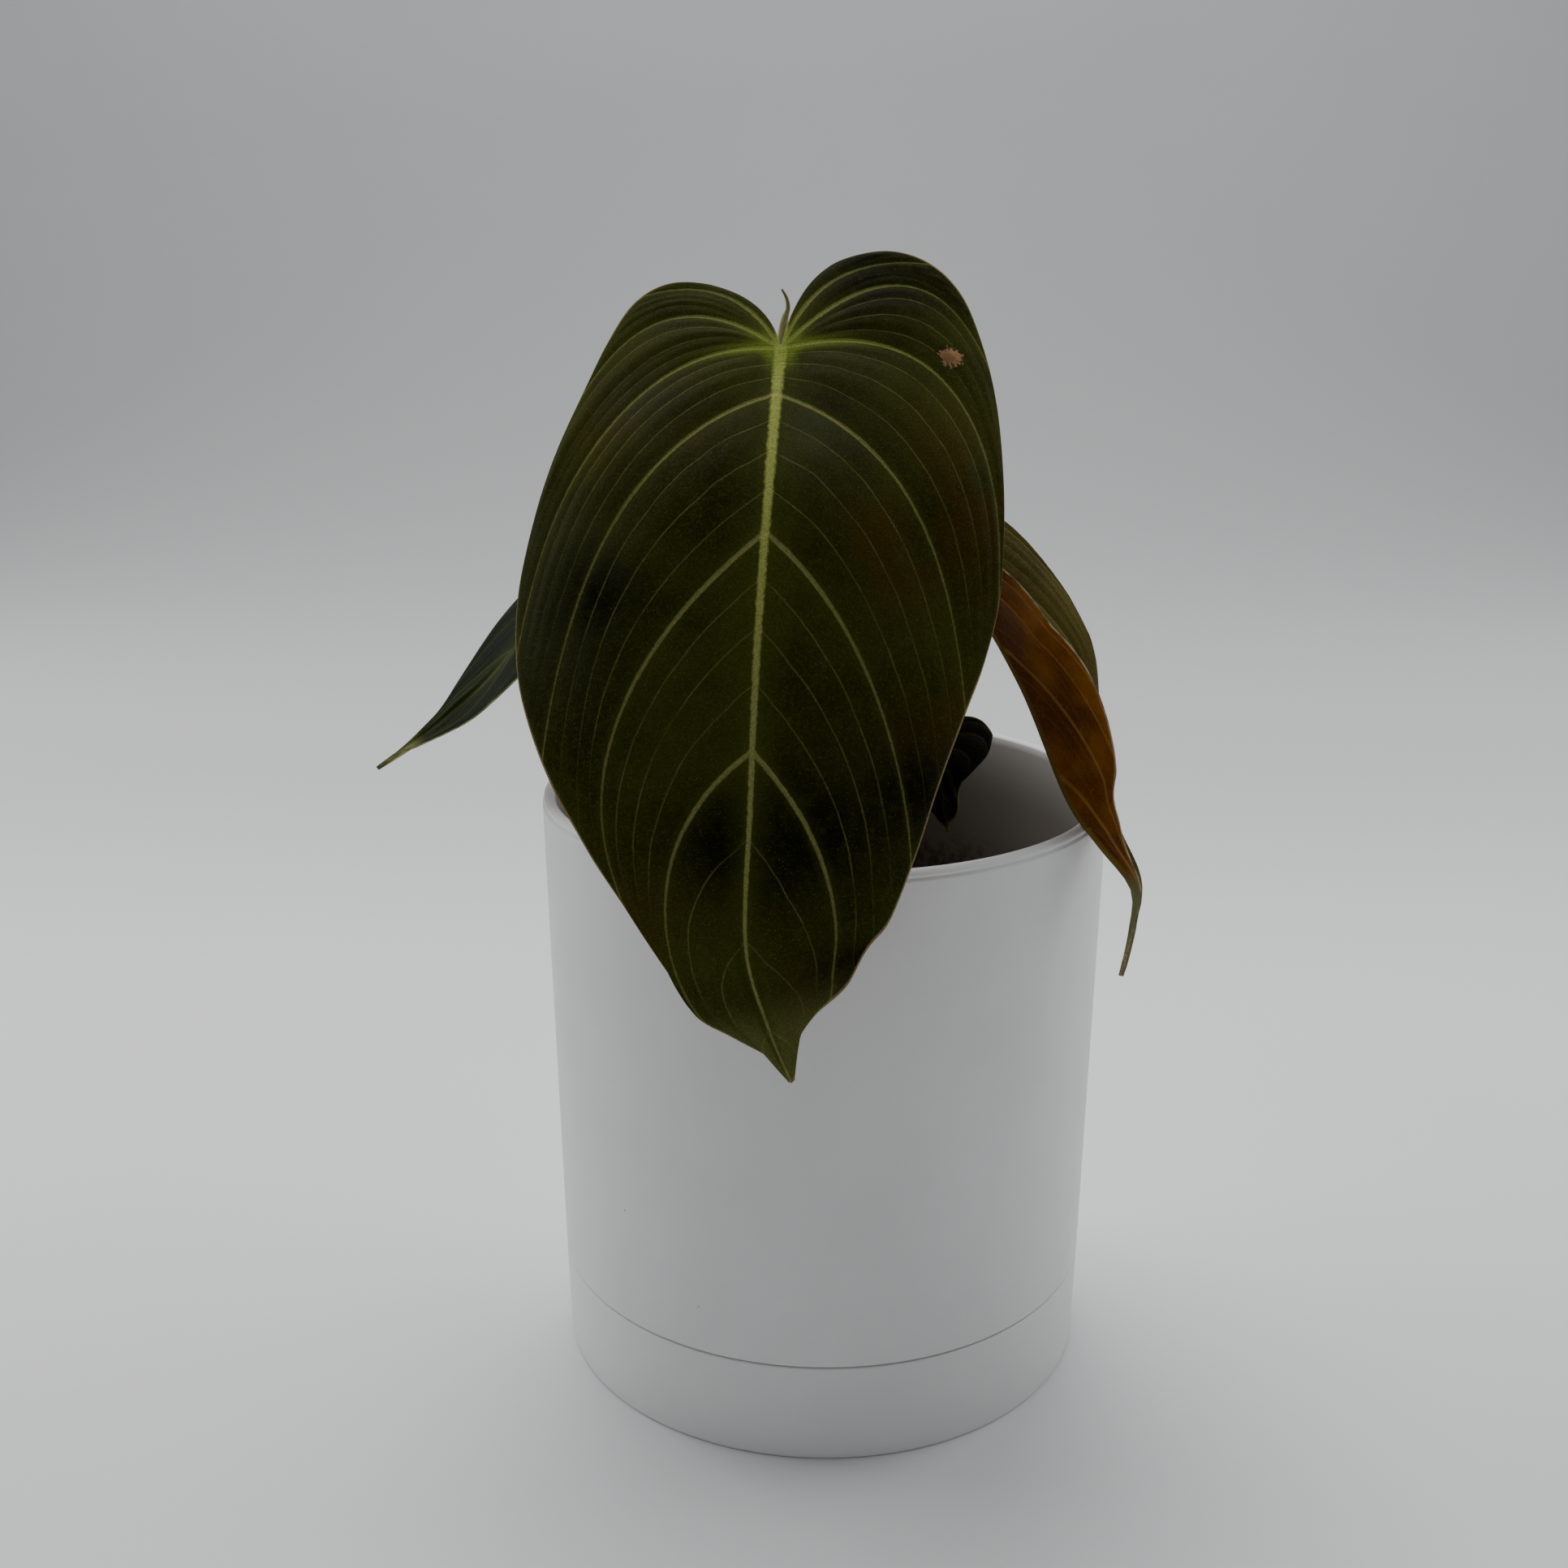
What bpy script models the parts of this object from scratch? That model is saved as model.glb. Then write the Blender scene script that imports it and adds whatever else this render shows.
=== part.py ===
"""Potted philodendron: a ribbed heart-leaved plant in a white pot that nests in its own saucer.

Metres, +Z up. The origin is the middle of the saucer's underside, and the plant's best side faces -Y.
"""
import bmesh
import bpy
from math import cos, pi, sin
from mathutils import Vector

# ---- driving sizes -------------------------------------------------------------------------------
fit = 0.0003                 # clearance left between pieces that touch

rimRadius = 0.0635           # outside of the pot at its rim: a 127 mm pot
rimHeight = 0.1343           # top of the rim above the table
potWall = 0.0030
potFloor = 0.0030
rimRound = 0.0020            # height of the rounded lip
shoulderOut = 0.0020         # the wall widens this much just above the seam
shoulderRise = 0.0060
saucerHeight = 0.0228        # the seam between saucer and pot
seamRadius = 0.0617          # outside of both at the seam
saucerFootRadius = 0.0611
saucerWall = 0.0025
saucerFloor = 0.0026
drainGap = 0.0024            # standing room for water under the pot's floor
cornerRound = 0.0016
drainHoleRadius = 0.0040
drainHoleCount = 6
drainRingShare = 0.60        # ring of drain holes, as a share of the skirt's radius

soilDrop = 0.0368            # soil surface below the rim
soilCrown = 0.0015           # the soil is a little higher round the stem
soilEdgeDip = 0.0010
stemRadius = 0.0052
stemAboveSoil = 0.0200
stemInSoil = 0.0240

plantRise = 0.1160           # the top of the tallest leaf above the rim
leafThickness = 0.0007
weldDistance = 0.00005        # points of a blade nearer than this are one point
turnSteps = 96               # facets round the pot

# ---- sizes that follow ---------------------------------------------------------------------------
potBottom = saucerFloor + drainGap
insideFloor = potBottom + potFloor
seamHeight = saucerHeight + fit
skirtRadius = seamRadius - saucerWall - fit
skirtFootRadius = saucerFootRadius - saucerWall - fit
rimInside = rimRadius - potWall
seamInside = skirtRadius - potWall
soilTop = rimHeight - soilDrop
stemTop = soilTop + stemAboveSoil
stemFoot = soilTop - stemInSoil


def plantPoint(x, y, rise):
    """A point of the plant: x and y are shares of the rim's radius, rise is a share of plantRise."""
    return Vector((x * rimRadius, y * rimRadius, rimHeight + rise * plantRise))


def between(a, b, share):
    return a + (b - a) * share


def along(points, place):
    """A smooth curve through the points; place counts from 0 at the first to len - 1 at the last."""
    last = len(points) - 1
    place = min(max(place, 0.0), last - 1e-9)
    i = int(place)
    f = place - i
    before = points[max(i - 1, 0)]
    here = points[i]
    after = points[min(i + 1, last)]
    beyond = points[min(i + 2, last)]
    return [
        0.5 * (2 * q + (r - p) * f + (2 * p - 5 * q + 4 * r - s) * f * f + (3 * q - p - 3 * r + s) * f ** 3)
        for p, q, r, s in zip(before, here, after, beyond)
    ]


def readAlong(values, share):
    """A value from an evenly spaced list, read between its entries."""
    place = min(max(share, 0.0), 1.0) * (len(values) - 1)
    i = min(int(place), len(values) - 2)
    return between(values[i], values[i + 1], place - i)


# ---- materials -----------------------------------------------------------------------------------
def makeMaterial(name, colour, roughness):
    material = bpy.data.materials.new(name)
    material.use_nodes = True
    shader = material.node_tree.nodes["Principled BSDF"]
    shader.inputs["Base Color"].default_value = (*colour, 1.0)
    shader.inputs["Roughness"].default_value = roughness
    return material


def finish(piece, material, smooth=True):
    piece.data.materials.append(material)
    if smooth:
        for face in piece.data.polygons:
            face.use_smooth = True
    return piece


# ---- turned pieces -------------------------------------------------------------------------------
def turned(name, profile, material, steps):
    """A solid of revolution. The profile runs from the axis inside, over the top, down the outside."""
    mesh = bpy.data.meshes.new(name)
    points = [(radius, 0.0, height) for radius, height in profile]
    mesh.from_pydata(points, [(i, i + 1) for i in range(len(points) - 1)], [])
    piece = bpy.data.objects.new(name, mesh)
    bpy.context.collection.objects.link(piece)
    screw = piece.modifiers.new("turn", "SCREW")
    screw.axis = "Z"
    screw.angle = 2 * pi
    screw.steps = steps
    screw.render_steps = steps
    screw.use_merge_vertices = True
    screw.merge_threshold = 0.00002
    screw.use_smooth_shade = True
    return finish(piece, material, smooth=False)


def makeSaucer(material):
    inside = saucerFootRadius - saucerWall
    return turned("saucer", [
        (0.0, saucerFloor),
        (inside - cornerRound, saucerFloor),
        (inside, saucerFloor + cornerRound),
        (seamRadius - saucerWall, saucerHeight - cornerRound / 4),
        (seamRadius - saucerWall + cornerRound / 4, saucerHeight),
        (seamRadius - cornerRound / 4, saucerHeight),
        (seamRadius, saucerHeight - cornerRound / 4),
        (saucerFootRadius, cornerRound),
        (saucerFootRadius - 0.3 * cornerRound, 0.3 * cornerRound),
        (saucerFootRadius - cornerRound, 0.0),
        (0.0, 0.0),
    ], material, turnSteps)


def makePot(material):
    pot = turned("pot", [
        (0.0, insideFloor),
        (skirtFootRadius - potWall - cornerRound, insideFloor),
        (skirtFootRadius - potWall, insideFloor + cornerRound),
        (seamInside, seamHeight),
        (seamInside + shoulderOut, seamHeight + shoulderRise),
        (rimInside, rimHeight - rimRound),
        (rimInside + 0.1 * potWall, rimHeight - 0.2 * rimRound),
        (rimInside + 0.35 * potWall, rimHeight),
        (rimInside + 0.75 * potWall, rimHeight - 0.25 * rimRound),
        (rimRadius, rimHeight - rimRound),
        (seamRadius, seamHeight + cornerRound / 4),
        (seamRadius - cornerRound / 4, seamHeight),
        (skirtRadius, seamHeight),
        (skirtFootRadius, potBottom + cornerRound),
        (skirtFootRadius - cornerRound, potBottom),
        (0.0, potBottom),
    ], material, turnSteps)
    ring = skirtFootRadius * drainRingShare
    places = [(0.0, 0.0)]
    for i in range(drainHoleCount):
        turn = 2 * pi * i / drainHoleCount
        places.append((ring * cos(turn), ring * sin(turn)))
    for i, (x, y) in enumerate(places):
        bpy.ops.mesh.primitive_cylinder_add(
            vertices=24, radius=drainHoleRadius, depth=3 * potFloor,
            location=(x, y, potBottom + potFloor / 2),
        )
        cutter = bpy.context.object
        cutter.name = f"drain_cutter_{i}"
        cutter.hide_render = True
        cutter.display_type = "WIRE"
        cut = pot.modifiers.new(f"drain_{i}", "BOOLEAN")
        cut.operation = "DIFFERENCE"
        cut.solver = "EXACT"
        cut.object = cutter
    return pot


def insideRadius(height):
    """Inner wall of the pot at a height above its seam."""
    low = seamHeight + shoulderRise
    share = (height - low) / (rimHeight - rimRound - low)
    return between(seamInside + shoulderOut, rimInside, share)


def makeSoil(material):
    pit = stemRadius + fit
    floor = insideFloor + fit
    corner = skirtFootRadius - potWall - cornerRound - fit
    edgeHeight = soilTop - soilCrown - soilEdgeDip
    return turned("potting_mix", [
        (0.0, stemFoot - fit),
        (pit, stemFoot - fit),
        (pit, soilTop),
        (between(pit, insideRadius(soilTop), 0.4), soilTop - 0.4 * soilCrown),
        (insideRadius(soilTop) - 4 * soilEdgeDip, soilTop - soilCrown),
        (insideRadius(edgeHeight) - fit, edgeHeight),
        (seamInside + shoulderOut - fit, seamHeight + shoulderRise + fit),
        (seamInside - fit, seamHeight + fit),
        (corner + 0.7 * cornerRound, floor + cornerRound),
        (corner, floor),
        (0.0, floor),
    ], material, turnSteps)


def makeStem(material):
    node = 0.0006
    neck = 0.94 * stemRadius
    step = stemAboveSoil / 4
    return turned("stem", [
        (0.0, stemTop),
        (0.5 * neck, stemTop - 0.1 * step),
        (0.85 * neck, stemTop - 0.5 * step),
        (neck, stemTop - step),
        (neck - node, stemTop - 1.6 * step),
        (neck, stemTop - 2.0 * step),
        (neck - node, stemTop - 2.6 * step),
        (stemRadius, soilTop),
        (0.8 * stemRadius, stemFoot + 0.4 * stemRadius),
        (0.5 * stemRadius, stemFoot),
        (0.0, stemFoot),
    ], material, 24)


# ---- leaf pattern --------------------------------------------------------------------------------
# Every leaf is one pattern at its own size. Places on the flat blade are (u, w): u runs from the
# petiole at 0 to the tip at 1, and w is the distance from the midrib as a share of the half width.
leafEdge = {
    "left": [
        (0, 0), (-0.053, 0.067), (-0.094, 0.163), (-0.118, 0.326), (-0.122, 0.513), (-0.09, 0.66),
        (-0.022, 0.758), (0.075, 0.845), (0.18, 0.925), (0.312, 0.989), (0.38, 1.007), (0.444, 0.995),
        (0.51, 0.95), (0.6, 0.83), (0.7, 0.64), (0.769, 0.459), (0.83, 0.31), (0.88, 0.25),
        (0.92, 0.14), (0.96, 0.04), (1, 0.014),
    ],
    "right": [
        (0, 0), (-0.074, 0.028), (-0.131, 0.104), (-0.18, 0.235), (-0.207, 0.43), (-0.195, 0.61),
        (-0.147, 0.762), (-0.07, 0.86), (0.03, 0.93), (0.15, 0.965), (0.27, 0.979), (0.352, 0.97),
        (0.434, 0.918), (0.504, 0.847), (0.6, 0.745), (0.7, 0.65), (0.813, 0.537), (0.888, 0.381),
        (0.92, 0.19), (0.955, 0.071), (1, 0.014),
    ],
}
# Main veins from the notch to the tip: start on the midrib, bend (u, w), end as a place on the edge.
leafVeins = {
    "left": [
        (0, -0.09, 0.06, 3.2), (0, -0.142, 0.231, 4.8), (0, -0.142, 0.572, 6.96), (0, -0.01, 0.8, 11.2),
        (0.08, 0.172, 0.72, 12.9), (0.29, 0.55, 0.84, 14.9), (0.565, 0.68, 0.47, 17.2), (1, 1, 0.007, 20),
    ],
    "right": [
        (0, -0.12, 0.04, 2.9), (0, -0.185, 0.137, 5.1), (0, -0.27, 0.57, 7.5), (0, -0.12, 0.95, 11.0),
        (0.08, 0.155, 0.71, 13.0), (0.29, 0.42, 0.53, 15.0), (0.565, 0.74, 0.54, 17.6), (1, 1, 0.007, 20),
    ],
}


def flatPlace(side, row, out):
    """The place on the flat blade a share `out` of the way along vein `row`."""
    start, bendU, bendW, end = along(leafVeins[side], row)
    start = max(start, 0.0)
    edgeU, edgeW = along(leafEdge[side], end)
    rest = 1 - out
    u = rest * rest * start + 2 * out * rest * bendU + out * out * edgeU
    w = 2 * out * rest * bendW + out * out * edgeW
    return u, w


class Blade:
    """Carries the flat pattern along a curved midrib, each half folded and curled by its own angles."""

    def __init__(self, midrib, across, halfWidths, fold, curl, lobeBack=(0, 0, 0)):
        samples = 160
        points = [Vector(along(midrib, (len(midrib) - 1) * i / samples)) for i in range(samples + 1)]
        lengths = [0.0]
        for a, b in zip(points, points[1:]):
            lengths.append(lengths[-1] + (b - a).length)
        self.length = lengths[-1]
        self.points = []
        j = 0
        for i in range(samples + 1):
            want = self.length * i / samples
            while j < samples - 1 and lengths[j + 1] < want:
                j += 1
            self.points.append(between(points[j], points[j + 1], (want - lengths[j]) / (lengths[j + 1] - lengths[j])))
        self.across = Vector(across)
        self.halfWidths = halfWidths
        self.fold = fold
        self.curl = curl
        self.lobeBack = Vector(lobeBack)

    def frame(self, u):
        inside = min(max(u, 0.0), 1.0)
        point = readAlong(self.points, inside)
        ahead = readAlong(self.points, inside + 0.02) - readAlong(self.points, inside - 0.02)
        ahead.normalize()
        if u < 0:
            point = point + ahead * self.length * u + self.lobeBack * self.length * u * u
            ahead = (ahead + 2 * self.lobeBack * u).normalized()
        across = (self.across - ahead * self.across.dot(ahead)).normalized()
        return point, ahead, across, ahead.cross(across)

    def place(self, side, u, w):
        sign = -1 if side == "left" else 1
        point, _, across, up = self.frame(u)
        out = w * readAlong(self.halfWidths, u)
        fold = readAlong(self.fold[side], u)
        bend = readAlong(self.curl[side], u) / max(self.halfWidths)
        if abs(bend) < 1e-4:
            bend = 1e-4
        sideways = (sin(fold + bend * out) - sin(fold)) / bend
        upward = (cos(fold) - cos(fold + bend * out)) / bend
        return point + across * sideways * sign + up * upward


def makeLeaf(name, blade, material, rows, columns):
    """A closed leaf blade: a sheet on the vein pattern, thickened evenly about itself."""
    vertices = []
    faces = []
    lastRow = len(leafVeins["left"]) - 1
    for side in ("left", "right"):
        first = len(vertices)
        for i in range(rows + 1):
            row = lastRow * i / rows
            for j in range(columns + 1):
                u, w = flatPlace(side, row, j / columns)
                vertices.append(blade.place(side, u, w))
        for i in range(rows):
            for j in range(columns):
                a = first + i * (columns + 1) + j
                corners = [a, a + 1, a + columns + 2, a + columns + 1]
                if side == "left":
                    corners.reverse()
                faces.append(corners)
    mesh = bpy.data.meshes.new(name)
    mesh.from_pydata(vertices, [], faces)
    sheet = bmesh.new()
    sheet.from_mesh(mesh)
    bmesh.ops.remove_doubles(sheet, verts=sheet.verts, dist=weldDistance)
    bmesh.ops.dissolve_degenerate(sheet, edges=sheet.edges, dist=weldDistance)
    sheet.to_mesh(mesh)
    sheet.free()
    piece = bpy.data.objects.new(name, mesh)
    bpy.context.collection.objects.link(piece)
    thicken = piece.modifiers.new("thicken", "SOLIDIFY")
    thicken.thickness = leafThickness
    thicken.offset = 0.0
    thicken.use_even_offset = False
    return finish(piece, material)


def makeStalk(name, points, radii, material, steps=14, sides=5):
    """A round stalk through the points, tapering by the radii, with closed ends."""
    curve = bpy.data.curves.new(name, "CURVE")
    curve.dimensions = "3D"
    curve.bevel_depth = 1.0
    curve.bevel_resolution = sides
    curve.use_fill_caps = True
    spline = curve.splines.new("POLY")
    spline.points.add(steps)
    for i in range(steps + 1):
        x, y, z = along(points, (len(points) - 1) * i / steps)
        spline.points[i].co = (x, y, z, 1.0)
        spline.points[i].radius = readAlong(radii, i / steps)
    piece = bpy.data.objects.new(name, curve)
    bpy.context.collection.objects.link(piece)
    curve.materials.append(material)
    return piece


def makeSheath(name, turn, spread, foot, height, flare, material):
    """A dried leaf sheath: a pointed strip wrapped part of the way round the stem."""
    rows = 8
    columns = 8
    vertices = []
    faces = []
    for i in range(rows + 1):
        rise = i / rows
        radius = stemRadius + fit + leafThickness + flare * rise * rise
        width = spread * (1 - 0.9 * rise ** 1.6)
        for j in range(columns + 1):
            angle = turn + width * (j / columns - 0.5)
            vertices.append((radius * cos(angle), radius * sin(angle), foot + height * rise))
    for i in range(rows):
        for j in range(columns):
            a = i * (columns + 1) + j
            faces.append([a, a + 1, a + columns + 2, a + columns + 1])
    mesh = bpy.data.meshes.new(name)
    mesh.from_pydata(vertices, [], faces)
    piece = bpy.data.objects.new(name, mesh)
    bpy.context.collection.objects.link(piece)
    thicken = piece.modifiers.new("thicken", "SOLIDIFY")
    thicken.thickness = leafThickness
    thicken.offset = 0.0
    return finish(piece, material)


# ---- the plant -----------------------------------------------------------------------------------
def bothHalves(left, right):
    return {"left": left, "right": right}


frontBlade = Blade(
    midrib=[
        plantPoint(-0.153, -0.598, 0.843), plantPoint(-0.187, -0.970, 0.641), plantPoint(-0.219, -1.220, 0.409),
        plantPoint(-0.239, -1.362, 0.170), plantPoint(-0.252, -1.417, -0.037),
        plantPoint(-0.192, -1.422, -0.166), plantPoint(-0.121, -1.402, -0.272),
    ],
    across=(1, 0, 0),
    halfWidths=[0.046, 0.046],
    fold=bothHalves([0.0, 0.0], [0.0, 0.0]),
    curl=bothHalves([-0.35, -0.45], [-0.35, -0.45]),
    lobeBack=(0, -0.35, -0.1),
)
leftBlade = Blade(
    midrib=[
        plantPoint(-0.441, 0.142, 0.575), plantPoint(-0.661, 0.126, 0.497), plantPoint(-0.887, 0.110, 0.404),
        plantPoint(-1.062, 0.094, 0.279), plantPoint(-1.215, 0.094, 0.180),
        plantPoint(-1.396, 0.063, 0.098), plantPoint(-1.602, 0.031, 0.024),
    ],
    across=(0.15, -1, -0.2),
    halfWidths=[0.031, 0.031, 0.031, 0.029, 0.0257, 0.022, 0.0176, 0.009, 0.004],
    fold=bothHalves([0.0, -0.12, 0.20, 0.39], [0.0, 0.05, 0.03, -0.04]),
    curl=bothHalves([0.0, 0.0], [0.0, 0.0]),
)
rightBlade = Blade(
    midrib=[
        plantPoint(0.240, -0.080, 0.470), plantPoint(0.472, -0.142, 0.396), plantPoint(0.656, -0.283, 0.241),
        plantPoint(0.800, -0.470, 0.050), plantPoint(0.896, -0.560, -0.024),
        plantPoint(1.002, -0.620, -0.097), plantPoint(1.000, -0.640, -0.174), plantPoint(0.975, -0.640, -0.263),
    ],
    across=(0, 1, 0),
    halfWidths=[0.0251, 0.0240, 0.0247, 0.0235, 0.0205, 0.0180, 0.0105, 0.0035, 0.0038],
    fold=bothHalves([0.32, 0.38, 0.90, 0.70], [0.65, 0.82, 0.60, 0.80]),
    curl=bothHalves([0.1, 0.1], [0.1, 0.1]),
)
smallBlade = Blade(
    midrib=[
        plantPoint(0.386, 0.016, 0.088), plantPoint(0.402, -0.031, 0.032),
        plantPoint(0.417, -0.063, -0.028), plantPoint(0.439, -0.094, -0.084),
    ],
    across=(1, 0.2, 0),
    halfWidths=[0.016, 0.014, 0.009, 0.008, 0.008],
    fold=bothHalves([0.0, 0.0], [0.0, 0.0]),
    curl=bothHalves([-0.5, -0.5], [-0.5, -0.5]),
)


def petioleTo(name, blade, turn, foot, bends, footRadius, headRadius, material):
    """A petiole from the side of the stem to just under the blade's notch."""
    reach = stemRadius + fit + footRadius
    start = Vector((reach * cos(turn), reach * sin(turn), foot))
    joint, _, _, up = blade.frame(0.0)
    head = joint - up * (headRadius + leafThickness / 2 + 2 * fit)
    below = head - up * 2 * headRadius
    return makeStalk(name, [start] + bends + [below, head], [footRadius, headRadius, headRadius], material)


def build():
    plastic = makeMaterial("white_plastic", (0.80, 0.80, 0.79), 0.55)
    soil = makeMaterial("potting_mix", (0.035, 0.022, 0.016), 0.95)
    bark = makeMaterial("green_stem", (0.10, 0.13, 0.04), 0.60)
    green = makeMaterial("green_petiole", (0.13, 0.20, 0.06), 0.50)
    leaf = makeMaterial("dark_leaf", (0.022, 0.030, 0.012), 0.55)
    young = makeMaterial("young_leaf", (0.14, 0.10, 0.04), 0.60)
    dry = makeMaterial("dried_sheath", (0.23, 0.14, 0.07), 0.80)
    root = makeMaterial("root", (0.17, 0.10, 0.06), 0.80)

    makeSaucer(plastic)
    makePot(plastic)
    makeSoil(soil)
    makeStem(bark)

    makeLeaf("leaf_front", frontBlade, leaf, 28, 6)
    makeLeaf("leaf_left", leftBlade, leaf, 24, 5)
    makeLeaf("leaf_right", rightBlade, leaf, 24, 5)
    makeLeaf("leaf_small", smallBlade, leaf, 18, 4)

    footHeight = soilTop + 0.6 * stemAboveSoil
    petioleTo("petiole_front", frontBlade, -0.45 * pi, footHeight, [
        plantPoint(0.05, -0.17, 0.14), plantPoint(0.02, -0.24, 0.48), plantPoint(-0.08, -0.36, 0.74),
    ], 0.0024, 0.0018, green)
    petioleTo("petiole_left", leftBlade, 0.90 * pi, footHeight + 0.001, [
        plantPoint(-0.20, 0.06, 0.10), plantPoint(-0.33, 0.10, 0.36),
    ], 0.0021, 0.0015, green)
    petioleTo("petiole_right", rightBlade, 0.14 * pi, footHeight - 0.002, [
        plantPoint(0.14, 0.08, 0.06), plantPoint(0.16, 0.04, 0.30),
    ], 0.0020, 0.0015, green)
    petioleTo("petiole_small", smallBlade, -0.20 * pi, footHeight - 0.004, [
        plantPoint(0.22, -0.05, -0.12), plantPoint(0.36, 0.07, 0.02),
    ], 0.0014, 0.0010, green)

    spearFoot = Vector((0.0, stemRadius + fit + 0.0019, soilTop + 0.5 * stemAboveSoil))
    makeStalk("new_leaf_spear", [
        spearFoot, plantPoint(-0.08, 0.16, 0.18), plantPoint(-0.17, 0.15, 0.55), plantPoint(-0.15, -0.06, 0.84),
        plantPoint(-0.130, -0.16, 0.905), plantPoint(-0.150, -0.17, 0.935),
    ], [0.0019, 0.0021, 0.0016, 0.0008, 0.0003], young, steps=20)

    makeSheath("dried_sheath_low", 1.25 * pi, 1.1, soilTop + 0.0008, 0.034, 0.010, dry)
    makeSheath("dried_sheath_high", 0.70 * pi, 0.50, soilTop + 0.0008, 0.050, 0.012, dry)

    rootRadius = 0.0011
    rootReach = stemRadius + fit + rootRadius
    for name, turn, length in (("aerial_root_a", 1.62 * pi, 0.030), ("aerial_root_b", 0.30 * pi, 0.024)):
        points = []
        for share, rise, swing in ((0.0, 0.0050, 0.0), (0.35, 0.0052, 0.10), (0.7, 0.0024, 0.22), (1.0, 0.0020, 0.40)):
            radius = rootReach + share * length
            points.append(Vector((radius * cos(turn + swing), radius * sin(turn + swing), soilTop + rise)))
        makeStalk(name, points, [rootRadius, rootRadius, 0.0006], root, steps=10, sides=3)


for old in list(bpy.data.objects):
    bpy.data.objects.remove(old, do_unlink=True)
build()
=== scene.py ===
import bmesh
import bpy
import random
from math import cos, exp, pi, radians, sin
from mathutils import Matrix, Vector, noise


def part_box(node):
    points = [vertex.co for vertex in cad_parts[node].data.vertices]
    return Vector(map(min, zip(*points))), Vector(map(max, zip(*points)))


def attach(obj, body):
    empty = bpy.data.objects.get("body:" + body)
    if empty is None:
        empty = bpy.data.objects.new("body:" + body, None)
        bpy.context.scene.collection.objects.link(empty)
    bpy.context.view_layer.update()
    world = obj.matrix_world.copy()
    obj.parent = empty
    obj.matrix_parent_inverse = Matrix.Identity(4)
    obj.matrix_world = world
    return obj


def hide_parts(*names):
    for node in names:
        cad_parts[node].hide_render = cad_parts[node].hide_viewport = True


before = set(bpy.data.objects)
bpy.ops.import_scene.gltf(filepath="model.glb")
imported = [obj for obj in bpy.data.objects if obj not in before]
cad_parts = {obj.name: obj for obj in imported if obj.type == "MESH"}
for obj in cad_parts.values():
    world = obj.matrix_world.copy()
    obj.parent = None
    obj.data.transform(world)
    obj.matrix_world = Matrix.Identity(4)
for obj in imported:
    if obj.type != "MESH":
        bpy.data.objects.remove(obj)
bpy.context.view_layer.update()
print("frame loaded")

# the pot and the soil give the plant its places
potLow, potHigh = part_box("pot")
soilLow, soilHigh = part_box("potting_mix")
stemLow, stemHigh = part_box("stem")
saucerLow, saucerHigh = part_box("saucer")
rimRadius = potHigh[0]
rimHeight = potHigh[2]
soilTop = soilHigh[2]
stemRadius = stemHigh[0]
plantRise = 0.116


def plantPoint(x, y, rise):
    # shares of the rim's radius sideways, and of the plant's height above the rim
    return Vector((x * rimRadius, y * rimRadius, rimHeight + rise * plantRise))


def between(a, b, share):
    return a + (b - a) * share


def smoothStep(low, high, value):
    share = min(max((value - low) / (high - low), 0.0), 1.0)
    return share * share * (3 - 2 * share)


def along(points, place):
    # a smooth curve through the points, place counts from 0 to len - 1
    last = len(points) - 1
    place = min(max(place, 0.0), last - 1e-9)
    i = int(place)
    f = place - i
    four = (points[max(i - 1, 0)], points[i], points[min(i + 1, last)], points[min(i + 2, last)])
    return [
        0.5 * (2 * q + (r - p) * f + (2 * p - 5 * q + 4 * r - s) * f * f + (3 * q - p - 3 * r + s) * f ** 3)
        for p, q, r, s in zip(*four)
    ]


def readAlong(values, share):
    place = min(max(share, 0.0), 1.0) * (len(values) - 1)
    i = min(int(place), len(values) - 2)
    return between(values[i], values[i + 1], place - i)


# shader nodes written as sums
class Amount:
    def __init__(self, coat, socket):
        self.coat = coat
        self.socket = socket

    def sum(self, operation, *values):
        return self.coat.amount("ShaderNodeMath", {"operation": operation}, dict(enumerate(values)))

    def __add__(self, other):
        return self.sum("ADD", self, other)

    def __radd__(self, other):
        return self.sum("ADD", other, self)

    def __sub__(self, other):
        return self.sum("SUBTRACT", self, other)

    def __rsub__(self, other):
        return self.sum("SUBTRACT", other, self)

    def __mul__(self, other):
        return self.sum("MULTIPLY", self, other)

    def __rmul__(self, other):
        return self.sum("MULTIPLY", other, self)

    def __truediv__(self, other):
        return self.sum("DIVIDE", self, other)

    def __pow__(self, other):
        return self.sum("POWER", self, other)

    def fract(self):
        return self.sum("FRACT", self)

    def absolute(self):
        return self.sum("ABSOLUTE", self)

    def atMost(self, other):
        return self.sum("MINIMUM", self, other)

    def atLeast(self, other):
        return self.sum("MAXIMUM", self, other)

    def toWhole(self):
        # how far it is to the nearest whole number
        return ((self + 0.5).fract() - 0.5).absolute()

    def step(self, low, high, fromValue=0.0, toValue=1.0):
        # smooth change from one value to another
        node = self.coat.node("ShaderNodeMapRange", {"interpolation_type": "SMOOTHSTEP"}, {
            "Value": self, "From Min": low, "From Max": high, "To Min": fromValue, "To Max": toValue,
        })
        return Amount(self.coat, node.outputs["Result"])

    def fall(self, low, high):
        return self.step(low, high, 1.0, 0.0)


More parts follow.
